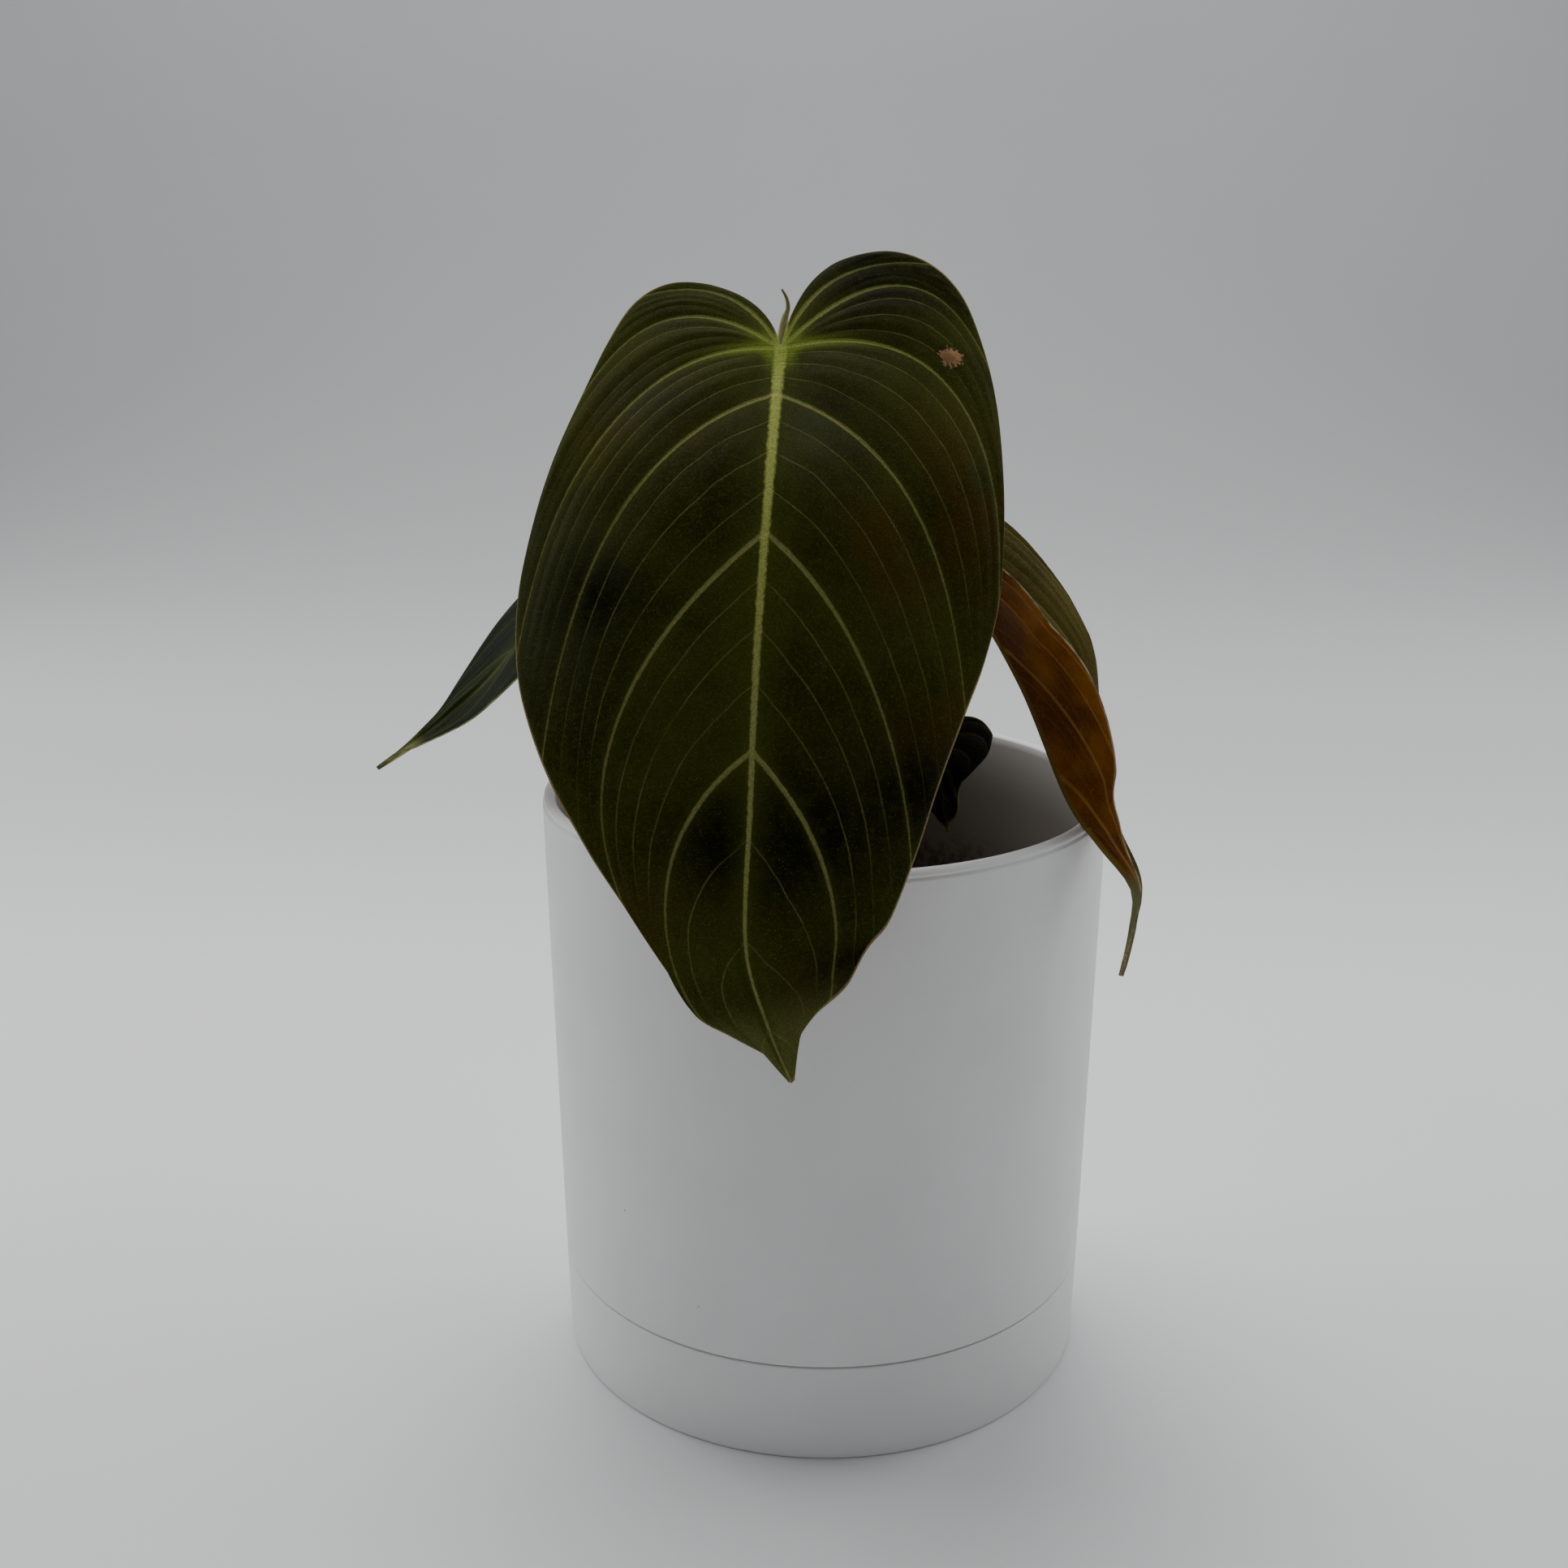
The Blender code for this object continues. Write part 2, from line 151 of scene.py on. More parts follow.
class Recipe:
    # owner is a material or a world, and fixed are sockets that stay the same all over
    def __init__(self, owner, shader="Principled BSDF", **fixed):
        if isinstance(owner, str):
            owner = bpy.data.materials.new(owner)
        owner.use_nodes = True
        self.owner = owner
        self.tree = owner.node_tree
        self.shader = self.tree.nodes[shader]
        self.coordinates = self.node("ShaderNodeTexCoord").outputs
        self.place = self.coordinates["Object"]
        self.fill(**fixed)

    def put(self, socket, value):
        if isinstance(value, Amount):
            value = value.socket
        if isinstance(value, bpy.types.NodeSocket):
            self.tree.links.new(value, socket)
        elif isinstance(value, tuple) and len(value) == 3 and socket.type == "RGBA":
            socket.default_value = (*value, 1.0)
        else:
            socket.default_value = value

    def node(self, kind, settings=None, sockets=None):
        made = self.tree.nodes.new(kind)
        for name, value in (settings or {}).items():
            setattr(made, name, value)
        for name, value in (sockets or {}).items():
            self.put(made.inputs[name], value)
        return made

    def amount(self, kind, settings=None, sockets=None, output=0):
        return Amount(self, self.node(kind, settings, sockets).outputs[output])

    def mix(self, share, first, second):
        return self.node("ShaderNodeMix", {"data_type": "RGBA"}, {0: share, 6: first, 7: second}).outputs[2]

    def paint(self, share, layer):
        # lays a colour over what is painted so far
        self.colour = self.mix(share, self.colour, layer)

    def parts(self, vector):
        split = self.node("ShaderNodeSeparateXYZ", {}, {"Vector": vector})
        return [Amount(self, socket) for socket in split.outputs]

    def vector(self, operation, *values):
        return self.node("ShaderNodeVectorMath", {"operation": operation}, dict(enumerate(values))).outputs

    def noise(self, scale, detail=3.0, roughness=0.55, place=None):
        place = self.place if place is None else place
        return self.amount("ShaderNodeTexNoise", {}, {
            "Vector": place, "Scale": scale, "Detail": detail, "Roughness": roughness,
        })

    def streaks(self, scale, detail=3.0):
        # noise with its own scale along each axis
        mapped = self.node("ShaderNodeMapping", {}, {"Vector": self.place, "Scale": scale})
        return self.noise(1.0, detail, place=mapped.outputs[0])

    def cells(self, scale, feature="F1", output="Distance"):
        return self.amount(
            "ShaderNodeTexVoronoi", {"feature": feature}, {"Vector": self.place, "Scale": scale}, output
        )

    def attribute(self, name):
        return self.amount("ShaderNodeAttribute", {"attribute_name": name}, {}, "Fac")

    def veinMap(self):
        # the row in the vein pattern, and the share of the way out from the midrib
        return self.parts(self.node("ShaderNodeUVMap", {"uv_map": "veinMap"}).outputs[0])[:2]

    def bump(self, height, distance, strength=1.0, under=None):
        made = self.node("ShaderNodeBump", {}, {"Height": height, "Distance": distance, "Strength": strength})
        if under is not None:
            self.put(made.inputs["Normal"], under)
        return made.outputs["Normal"]

    def fill(self, **sockets):
        for name, value in sockets.items():
            self.put(self.shader.inputs[name.replace("_", " ")], value)

    def finish(self, rough, normal):
        self.fill(Base_Color=self.colour, Roughness=rough, Normal=normal)
        return self.owner


# finishing a piece
def addPiece(piece, node, slotName, *materials):
    for material in materials:
        piece.data.materials.append(material)
    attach(piece, "root")
    if node:
        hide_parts(node)


def deselectAll():
    bpy.ops.object.select_all(action="DESELECT")


def pickOnly(piece):
    deselectAll()
    piece.select_set(True)
    bpy.context.view_layer.objects.active = piece


def smooth(piece, angle=None):
    pickOnly(piece)
    if angle:
        bpy.ops.object.shade_smooth_by_angle(angle=radians(angle))
    else:
        bpy.ops.object.shade_smooth()


def faceOutwards(piece):
    pickOnly(piece)
    bpy.ops.object.mode_set(mode="EDIT")
    bpy.ops.mesh.select_all(action="SELECT")
    bpy.ops.mesh.normals_make_consistent(inside=False)
    bpy.ops.object.mode_set(mode="OBJECT")


def addObject(name, data):
    made = bpy.data.objects.new(name, data)
    bpy.context.collection.objects.link(made)
    return made


def meshPiece(name, points, faces):
    mesh = bpy.data.meshes.new(name)
    mesh.from_pydata(points, [], faces)
    return addObject(name, mesh)


# plastic
plasticLook = {
    "white": (0.8, 0.805, 0.8),
    "shade": (0.755, 0.76, 0.755),
    "scuff": (0.55, 0.545, 0.53),
    "speck": (0.1, 0.085, 0.07),
    # the inside colour is painted shade on the inner wall of the pot
    "inside": (0.175, 0.157, 0.135),
    "splash": (0.075, 0.052, 0.04),
    "splashRise": 0.012,
    "grain": 5200.0,
    "grainDepth": 0.000018,
    "waveDepth": 0.00012,
}


def makePlastic(name, paintedInsideShade=False):
    look = plasticLook
    coat = Recipe(name, Specular_IOR_Level=0.32)
    coat.colour = coat.mix(coat.noise(26.0, 4.0).step(0.35, 0.7), look["white"], look["shade"])
    coat.paint(coat.streaks((60.0, 60.0, 900.0), 2.0).step(0.7, 0.8) * 0.05, look["scuff"])
    speck = coat.cells(95.0).fall(0.02, 0.04) * coat.noise(70.0, 0.0).step(0.6, 0.64)
    coat.paint(speck * 0.75, look["speck"])
    if paintedInsideShade:
        # the wall inside is painted dark as shade over its whole height, with splashes of potting dust just
        # above the soil
        x, y, z = coat.parts(coat.place)
        wallInside = rimRadius - potShape["wall"]
        inside = ((x * x + y * y) ** 0.5).fall(wallInside - 0.0004, wallInside + 0.0006)
        coat.paint(inside, look["inside"])
        low = z.fall(soilTop, soilTop + look["splashRise"])
        coat.paint(inside * low * coat.noise(420.0, 4.0).step(0.42, 0.6) * 0.85, look["splash"])
    wave = coat.bump(coat.noise(90.0, 2.0), look["waveDepth"], 0.35)
    normal = coat.bump(coat.noise(look["grain"], 2.0), look["grainDepth"], 0.6, wave)
    rough = coat.noise(240.0).step(0.3, 0.7, 0.46, 0.56)
    return coat.finish(rough, normal)


# turned pieces
def turnedPiece(name, profile, steps):
    # the outline is laid in a ring of points, its axis edge is dropped, and it is spun all the way round
    deselectAll()
    bpy.ops.mesh.primitive_circle_add(vertices=len(profile), radius=0.01)
    piece = bpy.context.object
    piece.name = name
    for point, (radius, height) in zip(piece.data.vertices, profile):
        point.co = (radius, 0.0, height)
    onAxis = {0, len(profile) - 1}
    outline = bmesh.new()
    outline.from_mesh(piece.data)
    axisEdge = [edge for edge in outline.edges if {point.index for point in edge.verts} == onAxis]
    bmesh.ops.delete(outline, geom=axisEdge, context="EDGES")
    outline.to_mesh(piece.data)
    outline.free()
    bpy.ops.object.mode_set(mode="EDIT")
    bpy.ops.mesh.select_all(action="SELECT")
    bpy.ops.mesh.spin(steps=steps, angle=2 * pi, center=(0, 0, 0), axis=(0, 0, 1))
    bpy.ops.mesh.select_all(action="SELECT")
    bpy.ops.mesh.remove_doubles(threshold=0.00001)
    bpy.ops.object.mode_set(mode="OBJECT")
    faceOutwards(piece)
    return piece


def rounded(corners, radii, steps=4):
    # each corner with a radius becomes a small arc
    path = []
    for i, corner in enumerate(corners):
        if i not in radii:
            path.append(corner)
            continue
        here = Vector(corner)
        back = (Vector(corners[i - 1]) - here).normalized() * radii[i]
        on = (Vector(corners[i + 1]) - here).normalized() * radii[i]
        for j in range(steps + 1):
            t = j / steps
            path.append(tuple(here + back * (1 - t) ** 2 + on * t ** 2))
    return path


potShape = {
    "wall": 0.003,
    "floor": 0.003,
    "seamRadius": 0.0617,
    "footRadius": 0.0611,
    "saucerWall": 0.0025,
    "saucerFloor": 0.0026,
    "fit": 0.0003,
    "stepIn": 0.002,  # the wall inside leans out above the seam
    "stepRise": 0.006,
    "lipInside": [(0.0, 0.002), (0.0003, 0.0005), (0.001, 0.0)],  # out from the wall, down from the top
    "lipOutside": [  # in from the rim, down from the top
        (0.0011, 0.0001), (0.0003, 0.0007), (0.0002, 0.0013),
        (0.00065, 0.0017),  # a shallow crease round the lip
        (0.0, 0.0022),
    ],
    "saucerRounding": {1: 0.0016, 2: 0.0004, 3: 0.0004, 4: 0.0009},
    "potRounding": {
        1: 0.0016, 2: 0.001, 3: 0.001, 4: 0.0004, 5: 0.00025, 6: 0.0003, 7: 0.00035, 8: 0.00025, 9: 0.0002,
        10: 0.0002, 11: 0.0002, 12: 0.0005, 14: 0.0016,
    },
    "steps": 240,
    "sharpAbove": 35,
    "drainHole": 0.004,
    "drainSides": 48,
    "drainRing": 0.6,
    "drainCount": 6,
}


def makeSaucerPiece():
    s = potShape
    top = saucerHigh[2]
    corners = [
        (0.0, s["saucerFloor"]), (s["footRadius"] - s["saucerWall"], s["saucerFloor"]),
        (s["seamRadius"] - s["saucerWall"], top), (s["seamRadius"], top), (s["footRadius"], 0.0), (0.0, 0.0),
    ]
    piece = turnedPiece("saucerSmooth", rounded(corners, s["saucerRounding"]), s["steps"])
    smooth(piece, s["sharpAbove"])
    addPiece(piece, "saucer", "pot_plastic", makePlastic("saucerPlastic"))


def makePotPiece():
    s = potShape
    seam = saucerHigh[2] + s["fit"]
    skirt = s["seamRadius"] - s["saucerWall"] - s["fit"]
    skirtFoot = s["footRadius"] - s["saucerWall"] - s["fit"]
    bottom = potLow[2]
    floor = bottom + s["floor"]
    rimInside = rimRadius - s["wall"]
    corners = [
        (0.0, floor),
        (skirtFoot - s["wall"], floor),
        (skirt - s["wall"], seam),
        (skirt - s["wall"] + s["stepIn"], seam + s["stepRise"]),
    ]
    corners += [(rimInside + out, rimHeight - down) for out, down in s["lipInside"]]
    corners += [(rimRadius - back, rimHeight - down) for back, down in s["lipOutside"]]
    corners += [(s["seamRadius"], seam), (skirt, seam), (skirtFoot, bottom), (0.0, bottom)]
    piece = turnedPiece("potSmooth", rounded(corners, s["potRounding"]), s["steps"])
    ring = skirtFoot * s["drainRing"]
    turns = [2 * pi * i / s["drainCount"] for i in range(s["drainCount"])]
    for x, y in [(0.0, 0.0)] + [(ring * cos(turn), ring * sin(turn)) for turn in turns]:
        deselectAll()
        bpy.ops.mesh.primitive_cylinder_add(
            vertices=s["drainSides"], radius=s["drainHole"], depth=3 * s["floor"],
            location=(x, y, bottom + s["floor"] / 2),
        )
        cutter = bpy.context.object
        cut = piece.modifiers.new("drain", "BOOLEAN")
        cut.operation = "DIFFERENCE"
        cut.object = cutter
        pickOnly(piece)
        bpy.ops.object.modifier_apply(modifier=cut.name)
        bpy.data.objects.remove(cutter, do_unlink=True)
    smooth(piece, s["sharpAbove"])
    addPiece(piece, "pot", "pot_plastic", makePlastic("potPlastic", True))


makeSaucerPiece()
makePotPiece()
print("pot and saucer turned")

# potting mix
soilLook = {
    "rings": 44,
    "steps": 150,
    "sink": 0.001,
    "lump": 0.00077,
    "crumb": 0.00035,
    "rootBall": [(0.0028, 0.006), (0.006, 0.002), (0.008, 0.0)],  # in from the wall, up from seam or floor
    "chips": 300,
    "chipSize": (0.0016, 0.0048),
    "perlite": 70,
    "perliteSize": (0.0009, 0.0019),
    "clearance": 0.004,
    "seed": 11,
}


def soilHeight(x, y):
    # gentle mounds with small crumbs
    lump = noise.fractal(Vector((x * 90, y * 90, 3.1)), 0.9, 2.1, 5)
    crumb = noise.noise(Vector((x * 520, y * 520, 7.7)))
    return soilTop - soilLook["sink"] + soilLook["lump"] * lump + soilLook["crumb"] * crumb


def makeSoilMaterial(name, dark, light, scale):
    coat = Recipe(name, Specular_IOR_Level=0.25)
    fleck = coat.noise(scale, 5.0, 0.7)
    coat.colour = coat.mix(fleck.step(0.35, 0.68), dark, light)
    coat.paint(coat.cells(scale * 0.9, "F1", "Color") * 0.35, (0.012, 0.008, 0.006))
    fibre = coat.streaks((900.0, 240.0, 900.0))
    normal = coat.bump(fleck * 0.6 + fibre * 0.4, 0.0005, 0.9)
    return coat.finish(fleck.step(0.3, 0.7, 0.72, 0.95), normal)


def makeSoilPiece():
    look = soilLook
    wall = soilHigh[0]
    low = soilLow[2]
    pit = stemRadius + potShape["fit"]
    pitFloor = stemLow[2] - potShape["fit"]
    corners = [(0.0, pitFloor), (pit, pitFloor)]
    corners += [(between(pit, wall, i / look["rings"]), soilTop) for i in range(look["rings"] + 1)]
    for (inset, rise), level in zip(look["rootBall"], (saucerHigh[2], low, low)):
        corners.append((wall - inset, level + rise))
    corners.append((0.0, low))
    piece = turnedPiece("pottingMixRough", corners, look["steps"])
    for point in piece.data.vertices:
        if point.co.z > soilTop - 0.0001:
            point.co.z = soilHeight(point.co.x, point.co.y)
    smooth(piece)
    pottingMix = makeSoilMaterial("pottingMix", (0.012, 0.007, 0.005), (0.045, 0.026, 0.018), 620.0)
    addPiece(piece, "potting_mix", "potting_mix", pottingMix)


def scatter(name, count, sizes, flatness, material, seed, lift):
    # one lump of a few dozen faces is shaped once, then copied with its own size and turn
    draw = random.Random(seed)
    deselectAll()
    bpy.ops.mesh.primitive_ico_sphere_add(subdivisions=1, radius=1.0)
    lump = bpy.context.object
    shape = [point.co.copy() for point in lump.data.vertices]
    lumpFaces = [tuple(face.vertices) for face in lump.data.polygons]
    bpy.data.objects.remove(lump, do_unlink=True)
    points = []
    faces = []
    clearance = soilLook["clearance"]
    placed = 0
    while placed < count:
        radius = (soilHigh[0] - clearance) * draw.random() ** 0.5
        turn = draw.uniform(0, 2 * pi)
        if radius < stemRadius + clearance:
            continue
        x = radius * cos(turn)
        y = radius * sin(turn)
        size = draw.uniform(*sizes)
        spin = draw.uniform(0, 2 * pi)
        tilt = draw.uniform(-0.5, 0.5)
        wide = draw.uniform(0.5, 1.0)
        first = len(points)
        for point in shape:
            bend = 1 + 0.28 * noise.noise(point * 1.7 + Vector((placed * 3.1, 0, 0)))
            px = point.x * size * 0.5 * bend
            py = point.y * size * 0.5 * wide * bend
            pz = point.z * size * 0.5 * flatness * bend + px * tilt
            cx = px * cos(spin) - py * sin(spin)
            cy = px * sin(spin) + py * cos(spin)
            points.append((x + cx, y + cy, soilHeight(x, y) + lift * size + pz))
        faces += [tuple(first + k for k in face) for face in lumpFaces]
        placed += 1
    addPiece(meshPiece(name, points, faces), None, "potting_mix", material)


makeSoilPiece()
barkChip = makeSoilMaterial("barkChip", (0.03, 0.017, 0.01), (0.15, 0.085, 0.048), 900.0)
perliteWhite = makeSoilMaterial("perliteGrain", (0.42, 0.4, 0.36), (0.62, 0.6, 0.56), 1500.0)
scatter("barkChips", soilLook["chips"], soilLook["chipSize"], 0.35, barkChip, soilLook["seed"], 0.1)
grainSeed = soilLook["seed"] + 1
scatter("perliteGrains", soilLook["perlite"], soilLook["perliteSize"], 0.8, perliteWhite, grainSeed, 0.25)
print("potting mix laid")

# the leaf pattern: u runs from the notch to the tip, w outwards as a share of the half width
leafEdge = {
    "left": [
        (0, 0), (-0.053, 0.067), (-0.094, 0.163), (-0.118, 0.326), (-0.122, 0.513), (-0.09, 0.66),
        (-0.022, 0.758), (0.075, 0.845), (0.18, 0.925), (0.312, 0.989), (0.38, 1.007), (0.444, 0.995),
        (0.51, 0.95), (0.6, 0.83), (0.7, 0.64), (0.769, 0.459), (0.83, 0.31), (0.88, 0.25),
        (0.92, 0.14), (0.96, 0.04), (1, 0.014),
    ],
    "right": [
        (0, 0), (-0.074, 0.028), (-0.131, 0.104), (-0.18, 0.235), (-0.207, 0.43), (-0.195, 0.61),
        (-0.147, 0.762), (-0.07, 0.86), (0.03, 0.93), (0.15, 0.965), (0.27, 0.979), (0.352, 0.97),
        (0.434, 0.918), (0.504, 0.847), (0.6, 0.745), (0.7, 0.65), (0.813, 0.537), (0.888, 0.381),
        (0.92, 0.19), (0.955, 0.071), (1, 0.014),
    ],
}
# main veins: start on the midrib, bend (u, w), end as a place on the edge
leafVeins = {
    "left": [
        (0, -0.09, 0.06, 3.2), (0, -0.142, 0.231, 4.8), (0, -0.142, 0.572, 6.96), (0, -0.01, 0.8, 11.2),
        (0.08, 0.172, 0.72, 12.9), (0.29, 0.55, 0.84, 14.9), (0.565, 0.68, 0.47, 17.2), (1, 1, 0.007, 20),
    ],
    "right": [
        (0, -0.12, 0.04, 2.9), (0, -0.185, 0.137, 5.1), (0, -0.27, 0.57, 7.5), (0, -0.12, 0.95, 11.0),
        (0.08, 0.155, 0.71, 13.0), (0.29, 0.42, 0.53, 15.0), (0.565, 0.74, 0.54, 17.6), (1, 1, 0.007, 20),
    ],
}


def flatPlace(side, row, out):
    start, bendU, bendW, end = along(leafVeins[side], row)
    start = max(start, 0.0)
    edgeU, edgeW = along(leafEdge[side], end)
    rest = 1 - out
    u = rest * rest * start + 2 * out * rest * bendU + out * out * edgeU
    w = 2 * out * rest * bendW + out * out * edgeW
    return u, w


straight = [[0.0, 0.0]] * 2


class Blade:
    # carries the flat pattern along a curved midrib, each half folded and curled
    def __init__(self, leaf):
        samples = 200
        midrib = [plantPoint(*place) for place in leaf["midrib"]]
        points = [Vector(along(midrib, (len(midrib) - 1) * i / samples)) for i in range(samples + 1)]
        lengths = [0.0]
        for a, b in zip(points, points[1:]):
            lengths.append(lengths[-1] + (b - a).length)
        self.length = lengths[-1]
        self.points = []
        j = 0
        for i in range(samples + 1):
            want = self.length * i / samples
            while j < samples - 1 and lengths[j + 1] < want:
                j += 1
            share = (want - lengths[j]) / (lengths[j + 1] - lengths[j])
            self.points.append(between(points[j], points[j + 1], share))
        self.across = Vector(leaf["across"])
        self.halfWidths = leaf["halfWidths"]
        self.fold = dict(zip(("left", "right"), leaf.get("fold", straight)))
        self.curl = dict(zip(("left", "right"), leaf.get("curl", straight)))
        self.lobeBack = Vector(leaf.get("lobeBack", (0, 0, 0)))

    def frame(self, u):
        inside = min(max(u, 0.0), 1.0)
        point = readAlong(self.points, inside)
        ahead = readAlong(self.points, inside + 0.02) - readAlong(self.points, inside - 0.02)
        ahead.normalize()
        if u < 0:
            point = point + ahead * self.length * u + self.lobeBack * self.length * u * u
            ahead = (ahead + 2 * self.lobeBack * u).normalized()
        across = (self.across - ahead * self.across.dot(ahead)).normalized()
        return point, ahead, across, ahead.cross(across)

    def place(self, side, u, w):
        # the point on the blade, the way out of its upper face, and the distance out in metres
        sign = -1 if side == "left" else 1
        point, _, across, up = self.frame(u)
        out = w * readAlong(self.halfWidths, u)
        fold = readAlong(self.fold[side], u)
        bend = readAlong(self.curl[side], u) / max(self.halfWidths)
        if abs(bend) < 1e-4:  # a straight half is a very slow curl
            bend = 1e-4
        sideways = (sin(fold + bend * out) - sin(fold)) / bend
        upward = (cos(fold) - cos(fold + bend * out)) / bend
        slope = (fold + bend * out) * smoothStep(0.0, 0.0015, out)
        face = (up * cos(slope) - across * sign * sin(slope)).normalized()
        return point + across * sideways * sign + up * upward, face, out


leafShape = {
    "thickness": 0.0006,
    "edgeThickness": 0.00032,
    "edgeBand": 0.002,
    "quilt": 0.05,  # height of the swell between veins, as a share of their spacing
    "quiltMost": 0.0017,
    "sideVeins": 4,  # between each two main veins
    "ripple": 0.00016,
    "ribAtNotch": 0.00132,  # half width of the pale midrib
    "ribAtTip": 0.0002,
    "ribProud": 0.0003,
    "keel": 0.0011,  # how far the midrib stands out underneath
    "wave": 0.0007,
    "crowding": 1.15,  # above 1, points crowd towards the midrib
}
# the last two tints are painted sheen and painted shade in the folds
patternNames = ("gap", "rib", "toEdge", "way", "brown", "paintedSheen", "fold")


def bladeGrid(blade, side, rows, columns):
    # one half: point, way out, distance out, u, w, row, b, then vein spacing and distance to the edge
    lastRow = len(leafVeins[side]) - 1
    grid = []
    for i in range(rows + 1):
        row = lastRow * i / rows
        line = []
        for j in range(columns + 1):
            b = (j / columns) ** leafShape["crowding"]
            u, w = flatPlace(side, row, b)
            line.append([*blade.place(side, u, w), u, w, row, b])
        grid.append(line)
    for i, line in enumerate(grid):
        before = max(i - 1, 0)
        after = min(i + 1, rows)
        for j, here in enumerate(line):
            cross = (grid[after][j][0] - grid[before][j][0]) / ((after - before) * lastRow / rows)
            vein = line[min(j + 1, columns)][0] - line[max(j - 1, 0)][0]
            if vein.length > 1e-7:
                vein.normalize()
                cross = cross - vein * cross.dot(vein)
            here += [cross.length, (line[columns][0] - here[0]).length]
    return grid


def sheetHeight(upper, waveSeed, out, u, w, row, b, gap, toEdge):
    # how far a sheet stands off the plain blade, and the distance from the midrib in rib widths
    s = leafShape
    onward = min(max(u, 0.0), 1.0)
    ribShare = out / between(s["ribAtNotch"], s["ribAtTip"], onward ** 0.8)
    onRib = 1 - smoothStep(0.4, 1.5, ribShare)
    fade = smoothStep(0.0, 0.16, b) * (1 - smoothStep(0.86, 1.0, b))
    quilt = min(s["quilt"] * gap, s["quiltMost"]) * (sin(pi * row) ** 2) ** 0.6 * fade
    ripple = s["ripple"] * sin(s["sideVeins"] * pi * row) ** 2 * fade * smoothStep(0.003, 0.01, gap)
    wave = s["wave"] * noise.noise(Vector((u * 5.0, w * 2.2, waveSeed))) * smoothStep(0.3, 1.0, b)
    lift = quilt + ripple + wave
    thinning = smoothStep(0.0, s["edgeBand"], s["edgeBand"] - toEdge)
    half = between(s["thickness"], s["edgeThickness"], thinning) / 2
    if upper:
        return lift + half + s["ribProud"] * onRib, ribShare
    return lift - half - s["keel"] * (1 - 0.75 * onward) * onRib, ribShare


def spotSum(spots, u, w):
    total = 0.0
    for spotU, spotW, spread in spots:
        total += exp(-(((u - spotU) * 1.6) ** 2 + ((w - spotW) * 0.55) ** 2) / spread ** 2)
    return min(total, 1.0)


def makeBlade(name, leaf, materials):
    columns = leaf["columns"]
    rows = (len(leafVeins["left"]) - 1) * leaf["rows"]
    size = columns + 1
    depth = (rows + 1) * size  # from a point of the upper sheet to the one under it
    points = []
    faces = []
    slots = []
    places = []
    values = []

    def addFace(quad, turned, slotIndex):
        faces.append(quad[::-1] if turned else quad)
        slots.append(slotIndex)

    for side in ("left", "right"):
        onLeft = side == "left"
        grid = bladeGrid(leaf["blade"], side, rows, columns)
        first = len(points)
        for upper in (True, False):
            start = len(points)
            for point, face, out, u, w, row, b, gap, toEdge in sum(grid, []):
                move, ribShare = sheetHeight(upper, leaf["wave"], out, u, w, row, b, gap, toEdge)
                points.append(point + face * move)
                places.append((row, b))
                spotW = -w if onLeft else w
                tints = [spotSum(leaf["spots"].get(kind, []), u, spotW) for kind in patternNames[4:]]
                values.append((gap, ribShare, toEdge, u, *tints))
            for i in range(rows):
                for j in range(columns):
                    a = start + i * size + j
                    addFace([a, a + 1, a + size + 1, a + size], onLeft != upper, 0 if upper else 1)
        for i in range(rows):
            a = first + i * size + columns
            addFace([a, a + size, a + size + depth, a + depth], onLeft, 2)
        for i in (0, rows):
            for j in range(columns):
                a = first + i * size + j
                addFace([a, a + 1, a + 1 + depth, a + depth], onLeft == (i == 0), 2)
    piece = meshPiece(name, points, faces)
    mesh = piece.data
    mesh.uv_layers.new(name="veinMap")
    for polygon, slotIndex in zip(mesh.polygons, slots):
        polygon.material_index = slotIndex
        polygon.use_smooth = True
    order = [loop.vertex_index for loop in mesh.loops]
    for k, label in enumerate(patternNames):
        mesh.attributes.new(label, "FLOAT", "CORNER")
        mesh.attributes[label].data.foreach_set("value", [values[v][k] for v in order])
    mesh.uv_layers["veinMap"].data.foreach_set("uv", [number for v in order for number in places[v]])
    sheet = bmesh.new()
    sheet.from_mesh(mesh)
    bmesh.ops.remove_doubles(sheet, verts=sheet.verts, dist=0.00002)
    bmesh.ops.dissolve_degenerate(sheet, edges=sheet.edges, dist=0.000002)
    sheet.to_mesh(mesh)
    sheet.free()
    addPiece(piece, leaf["node"], "leaf_blade", *materials)


